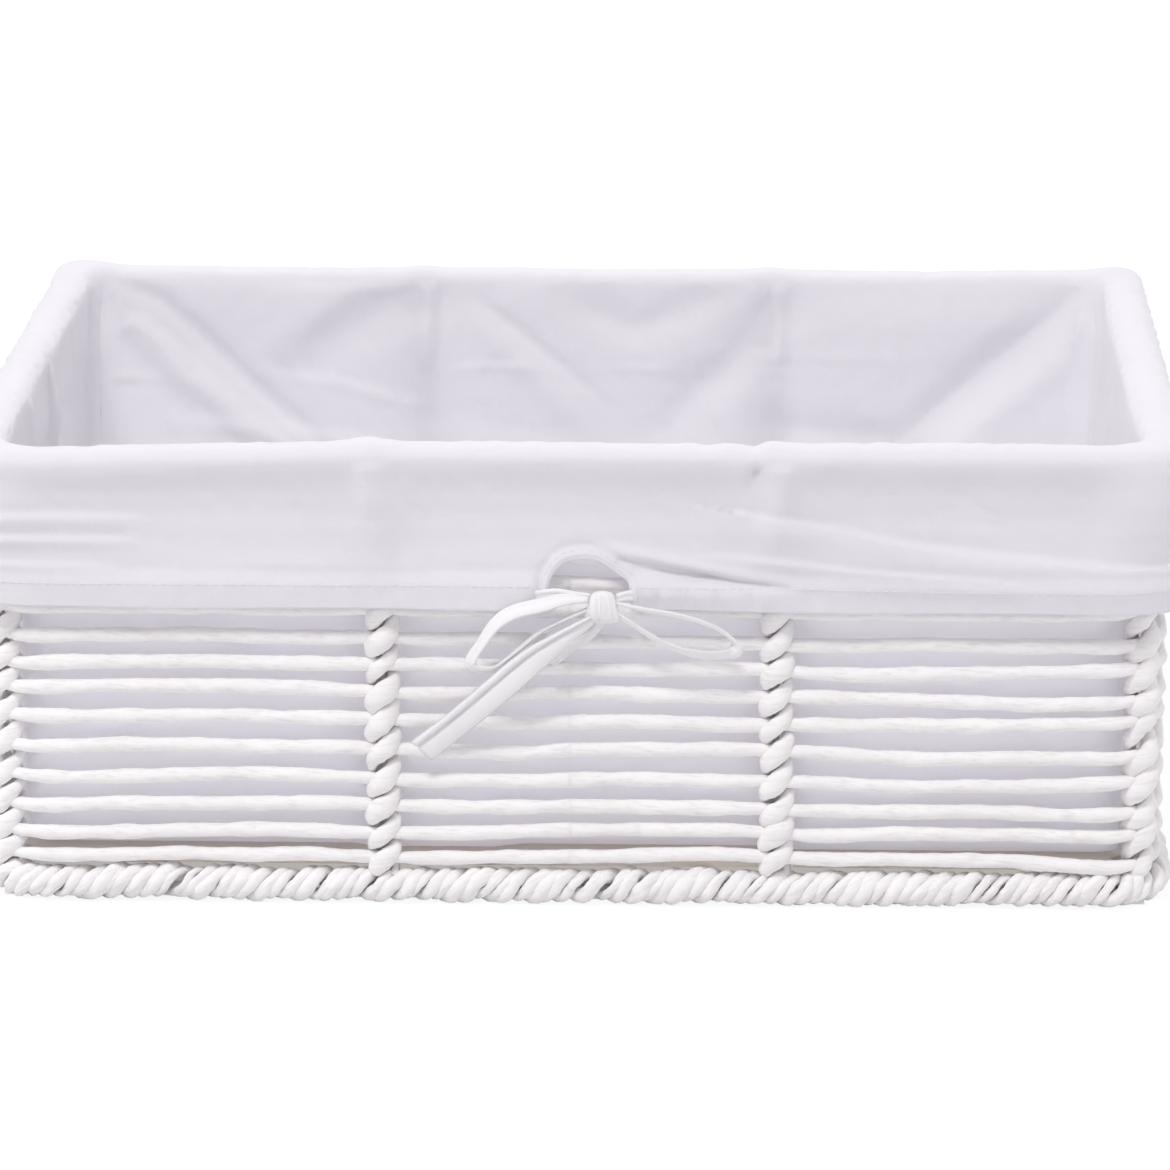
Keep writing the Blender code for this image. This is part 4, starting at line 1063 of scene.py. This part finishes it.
x, y = np.meshgrid(np.linspace(-FLOOR_HALF_X, FLOOR_HALF_X, 131),
                   np.linspace(-FLOOR_HALF_Y, FLOOR_HALF_Y, 91))
inner = np.clip(np.minimum(FLOOR_HALF_X - np.abs(x), FLOOR_HALF_Y - np.abs(y)) / FLOOR_EDGE, 0, 1)
in_mm = x * 1000, y * 1000
slack = 0.7 + 0.6 * smooth_noise(300, *in_mm, 70) + 0.15 * smooth_noise(301, *in_mm, 18)
for fold in chance_folds(302, 140, -90, 100, 12):
    slack = slack + 0.8 * np.abs(fold_height(*in_mm, fold))
points = np.stack((x, y, FLOOR_Z + inner * np.maximum(slack, 0) / 1000), -1).reshape(-1, 3)
floor_cloth = cloth_piece("liner_floor_cloth", points, grid_faces(*x.shape)[:, ::-1].tolist(), points[:, :2],
                          liner_cotton)
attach(floor_cloth, "liner")
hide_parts("liner_bottom_panel")


# ---- Drawstring ----
# A flat cotton tape, 6 mm wide, that runs through the hem channel all the way round. Its two
# ends leave the channel at the arched mouth, gathered narrow, and meet in the bow's knot.
TAPE_OUT, TAPE_MIDDLE_Z, TAPE_WIDE, TAPE_THICK, TAPE_STEP = 0.0066, 0.1027, 0.0058, 0.0006, 0.0025
TAPE_WHITE, TAPE_SHADE, TAPE_YARN, TAPE_SHEER = (0.98, 0.97, 0.985, 1), (0.93, 0.915, 0.945, 1), 0.00042, 0.12
MOUTH_LEFT, MOUTH_RIGHT, GATHERED = -0.0115, 0.0205, 0.0020
KNOT_PLACE = np.array((0.010, -(HALF_DEPTH + 0.0091), 0.1005))
RIGHT_LEAD = ((0.0042, 0.0006, 0.0022), (0.0080, 0.0012, 0.0030))
LEFT_LEAD = ((-0.0145, 0.0010, 0.0036), (-0.0095, 0.0006, 0.0030), (-0.0038, 0.0002, 0.0026))

tape_cotton = cotton("cotton_tape", TAPE_WHITE, TAPE_SHADE, TAPE_YARN, TAPE_SHEER)


def tube_faces(count, ring):
    """Faces of a closed tube: between its rings of points, and over both of its ends."""
    faces = [(k * ring + j, k * ring + (j + 1) % ring, (k + 1) * ring + (j + 1) % ring, (k + 1) * ring + j)
             for k in range(count - 1) for j in range(ring)]
    return [*faces, tuple(range(ring))[::-1], tuple(range((count - 1) * ring, count * ring))]


def sweep_tape(name, middles, across, through, ridge):
    """A tape along a line: half width and half thickness vectors at every station, a ridge across it."""
    span = np.linspace(-1, 1, 11)
    lifted, full = np.interp(span, *zip(*ridge)), np.sqrt(1 - np.abs(span) ** 6)
    section = [*zip(span, lifted + full), *list(zip(span, lifted - full))[-2:0:-1]]
    runs = np.concatenate(((0,), np.cumsum(np.linalg.norm(np.diff(middles, axis=0), axis=1))))
    points, cut = [], []
    for middle, wide, thick, run in zip(middles, across, through, runs):
        points += [middle + wide * c + thick * s for c, s in section]
        cut += [(run, c * np.linalg.norm(wide)) for c, _ in section]
    return cloth_piece(name, points, tube_faces(len(middles), len(section)), cut, tape_cotton)


points, outward = ring_walk(TAPE_OUT, TAPE_STEP)
points[:, 2] = TAPE_MIDDLE_Z
in_mouth = (points[:, 1] < -HALF_DEPTH) & (points[:, 0] > MOUTH_LEFT) & (points[:, 0] < MOUTH_RIGHT)
points, outward = points[~in_mouth], outward[~in_mouth]
right_lead = smooth_line([*(KNOT_PLACE + np.array(RIGHT_LEAD)), points[0]], 4)[:-1]
left_lead = smooth_line([points[-1], *(KNOT_PLACE + np.array(LEFT_LEAD))], 4)[1:]
line = np.concatenate((right_lead, points, left_lead))
facing = outward[np.clip(np.arange(len(line)) - len(right_lead), 0, len(points) - 1)]
from_ends = np.minimum(np.arange(len(points)), np.arange(len(points))[::-1])
half_wide = np.concatenate((
    np.linspace(0.0016, GATHERED, len(right_lead)),
    GATHERED + (TAPE_WIDE / 2 - GATHERED) * np.clip(from_ends / 6, 0, 1),
    np.linspace(0.0019, 0.0015, len(left_lead))))
drawstring = sweep_tape("drawstring_tape", line, half_wide[:, None] * np.array((0, 0, 1)),
                        facing * TAPE_THICK / 2, ((-1, 0), (-0.5, 0.6), (0, -0.5), (0.45, 0.8), (1, 0)))
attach(drawstring, "liner")
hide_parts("drawstring")


# ---- Bow ----
# The tape's two ends, tied in a limp bow below the arch: a knot, two loops that hang nearly
# edge on, a long tail laid over the rows and a short one behind it.
# Each tape's route from the knot (along, out, up) in metres, then widths and spins in degrees
# that run evenly along it, its thickness, and the ridge across it
BOW_TAPES = {
    "bow_left_loop": (
        ((-0.0046, 0.0000, 0.0026), (-0.0122, 0.0012, 0.0022), (-0.0189, 0.0021, 0.0006),
         (-0.0275, 0.0021, -0.0016), (-0.0334, 0.0018, -0.0055), (-0.0382, 0.0010, -0.0124),
         (-0.0416, 0.0006, -0.0184), (-0.0392, 0.0006, -0.0206), (-0.0345, 0.0006, -0.0205),
         (-0.0302, 0.0006, -0.0176), (-0.0255, 0.0006, -0.0136), (-0.0180, 0.0004, -0.0076),
         (-0.0046, 0.0000, -0.0012)),
        (0.0034, 0.0050, 0.0054, 0.0052, 0.0046, 0.0042, 0.0036, 0.0030),
        (-46, -38, -42, -58, -34, -70, -84, -78), 0.0009, ((-1, 0), (-0.3, 0.9), (0.4, -0.8), (1, 0.3))),
    "bow_right_loop": (
        ((0.0046, 0.0006, 0.0010), (0.0134, 0.0021, -0.0006), (0.0217, 0.0021, -0.0020),
         (0.0300, 0.0018, -0.0042), (0.0370, 0.0010, -0.0074), (0.0418, 0.0006, -0.0116),
         (0.0410, 0.0006, -0.0148), (0.0342, 0.0006, -0.0157), (0.0284, 0.0006, -0.0151),
         (0.0220, 0.0004, -0.0132), (0.0148, 0.0002, -0.0094), (0.0046, 0.0000, -0.0026)),
        (0.0030, 0.0042, 0.0044, 0.0044, 0.0050, 0.0048, 0.0040, 0.0030),
        (-60, -56, -58, -66, 44, 46, 62, 72), 0.0009, ((-1, 0), (-0.2, 0.8), (0.5, -0.7), (1, 0.2))),
    "bow_long_tail": (
        ((-0.0030, 0.0026, -0.0036), (-0.0139, 0.0036, -0.0110), (-0.0222, 0.0034, -0.0172),
         (-0.0338, 0.0020, -0.0278), (-0.0455, -0.0010, -0.0386), (-0.0575, -0.0030, -0.0488)),
        (0.0042, 0.0066, 0.0084, 0.0094, 0.0094, 0.0092, 0.0098), (24, 12, 4, -4, 0, 6, 10), 0.0009,
        ((-1, -0.8), (-0.4, 0.6), (0.15, 0.4), (0.42, -2.4), (0.6, 1.2), (0.82, 2.0), (1, 0.6))),
    "bow_short_tail": (
        ((0.0004, -0.0020, -0.0044), (-0.0046, -0.0024, -0.0106), (-0.0110, -0.0028, -0.0148),
         (-0.0165, -0.0030, -0.0198)),
        (0.0030, 0.0038, 0.0042, 0.0036), (20, 40, 30, 20), 0.0010,
        ((-1, 0.6), (-0.1, -1.2), (0.4, 0.8), (1, -0.5))),
}
KNOT_TOP, KNOT_FOOT, KNOT_RINGS, KNOT_AROUND = 0.0049, -0.0057, 27, 56
KNOT_FOOT_HALF, KNOT_TOP_HALF, KNOT_HALF_DEPTH = 0.0066, 0.0040, 0.0026


def bow_tape(name, route, widths, spins, thick, ridge):
    """A tape of the bow along its route. A spin of 90 degrees turns it edge on."""
    line = smooth_line(KNOT_PLACE + np.array(route) * (1, -1, 1), 9)
    share = np.linspace(0, 1, len(line))
    wide = np.interp(share, np.linspace(0, 1, len(widths)), widths)
    spin = np.radians(np.interp(share, np.linspace(0, 1, len(spins)), spins))
    across, through = [], []
    for k in range(len(line)):
        run = line[min(k + 1, len(line) - 1)] - line[max(k - 1, 0)]
        run = run / np.linalg.norm(run)
        sideways = np.cross(run, (0, -1, 0))
        sideways = sideways / np.linalg.norm(sideways)
        front = np.cross(sideways, run)
        across.append((sideways * math.cos(spin[k]) + front * math.sin(spin[k])) * wide[k] / 2)
        through.append((front * math.cos(spin[k]) - sideways * math.sin(spin[k])) * thick / 2)
    return sweep_tape(name, line, across, through, ridge), line


bow = {name: bow_tape(f"{name}_tape", *plan) for name, plan in BOW_TAPES.items()}

knot_points, knot_cut = [], []
for j in range(KNOT_RINGS):
    share = -math.cos(math.pi * j / (KNOT_RINGS - 1))
    level = (1 + share) / 2
    close = max(1 - abs(share) ** 5, 0.0004) ** 0.5
    half_x = KNOT_FOOT_HALF + (KNOT_TOP_HALF - KNOT_FOOT_HALF) * min(level * 1.3, 1) ** 0.8
    half_x = half_x * (close if share > 0 else close ** 0.6)
    half_y = (KNOT_HALF_DEPTH + 0.0007 * math.sin(math.pi * min(level * 1.15, 1))) * close
    for k in range(KNOT_AROUND):
        t = 2 * math.pi * k / KNOT_AROUND
        # Pleats of gathered tape run up the knot, and fan out at its foot
        lean = 5.2 * math.sin(t) * (1.25 - 0.45 * level) + 0.8 * level
        pleat = 0.20 * (0.3 + 0.7 * (1 - level)) * math.cos(2.1 * lean) + 0.09 * math.cos(3.7 * lean + 1)
        front = math.copysign(abs(math.cos(t)) ** 0.8, math.cos(t))
        knot_points.append(KNOT_PLACE + np.array((
            half_x * math.sin(t), -half_y * front * (1 + pleat * close) - 0.0002 * level,
            KNOT_FOOT + (KNOT_TOP - KNOT_FOOT) * level)))
        knot_cut.append((0.02 * k / KNOT_AROUND, 0.012 * j / KNOT_RINGS))
knot = cloth_piece("bow_knot_cloth", knot_points, tube_faces(KNOT_RINGS, KNOT_AROUND), knot_cut, tape_cotton)

for node, (piece, _) in {**bow, "bow_knot": (knot, None)}.items():
    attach(piece, "liner")
    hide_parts(node)

for node, wide, end, others in (
    ("bow_left_loop", 0.0036, "object", ()),
    ("bow_right_loop", 0.0036, "object", ()),
    ("bow_long_tail", 0.0092, "bare", (knot, bow["bow_short_tail"][0])),
):
    piece, line = bow[node]
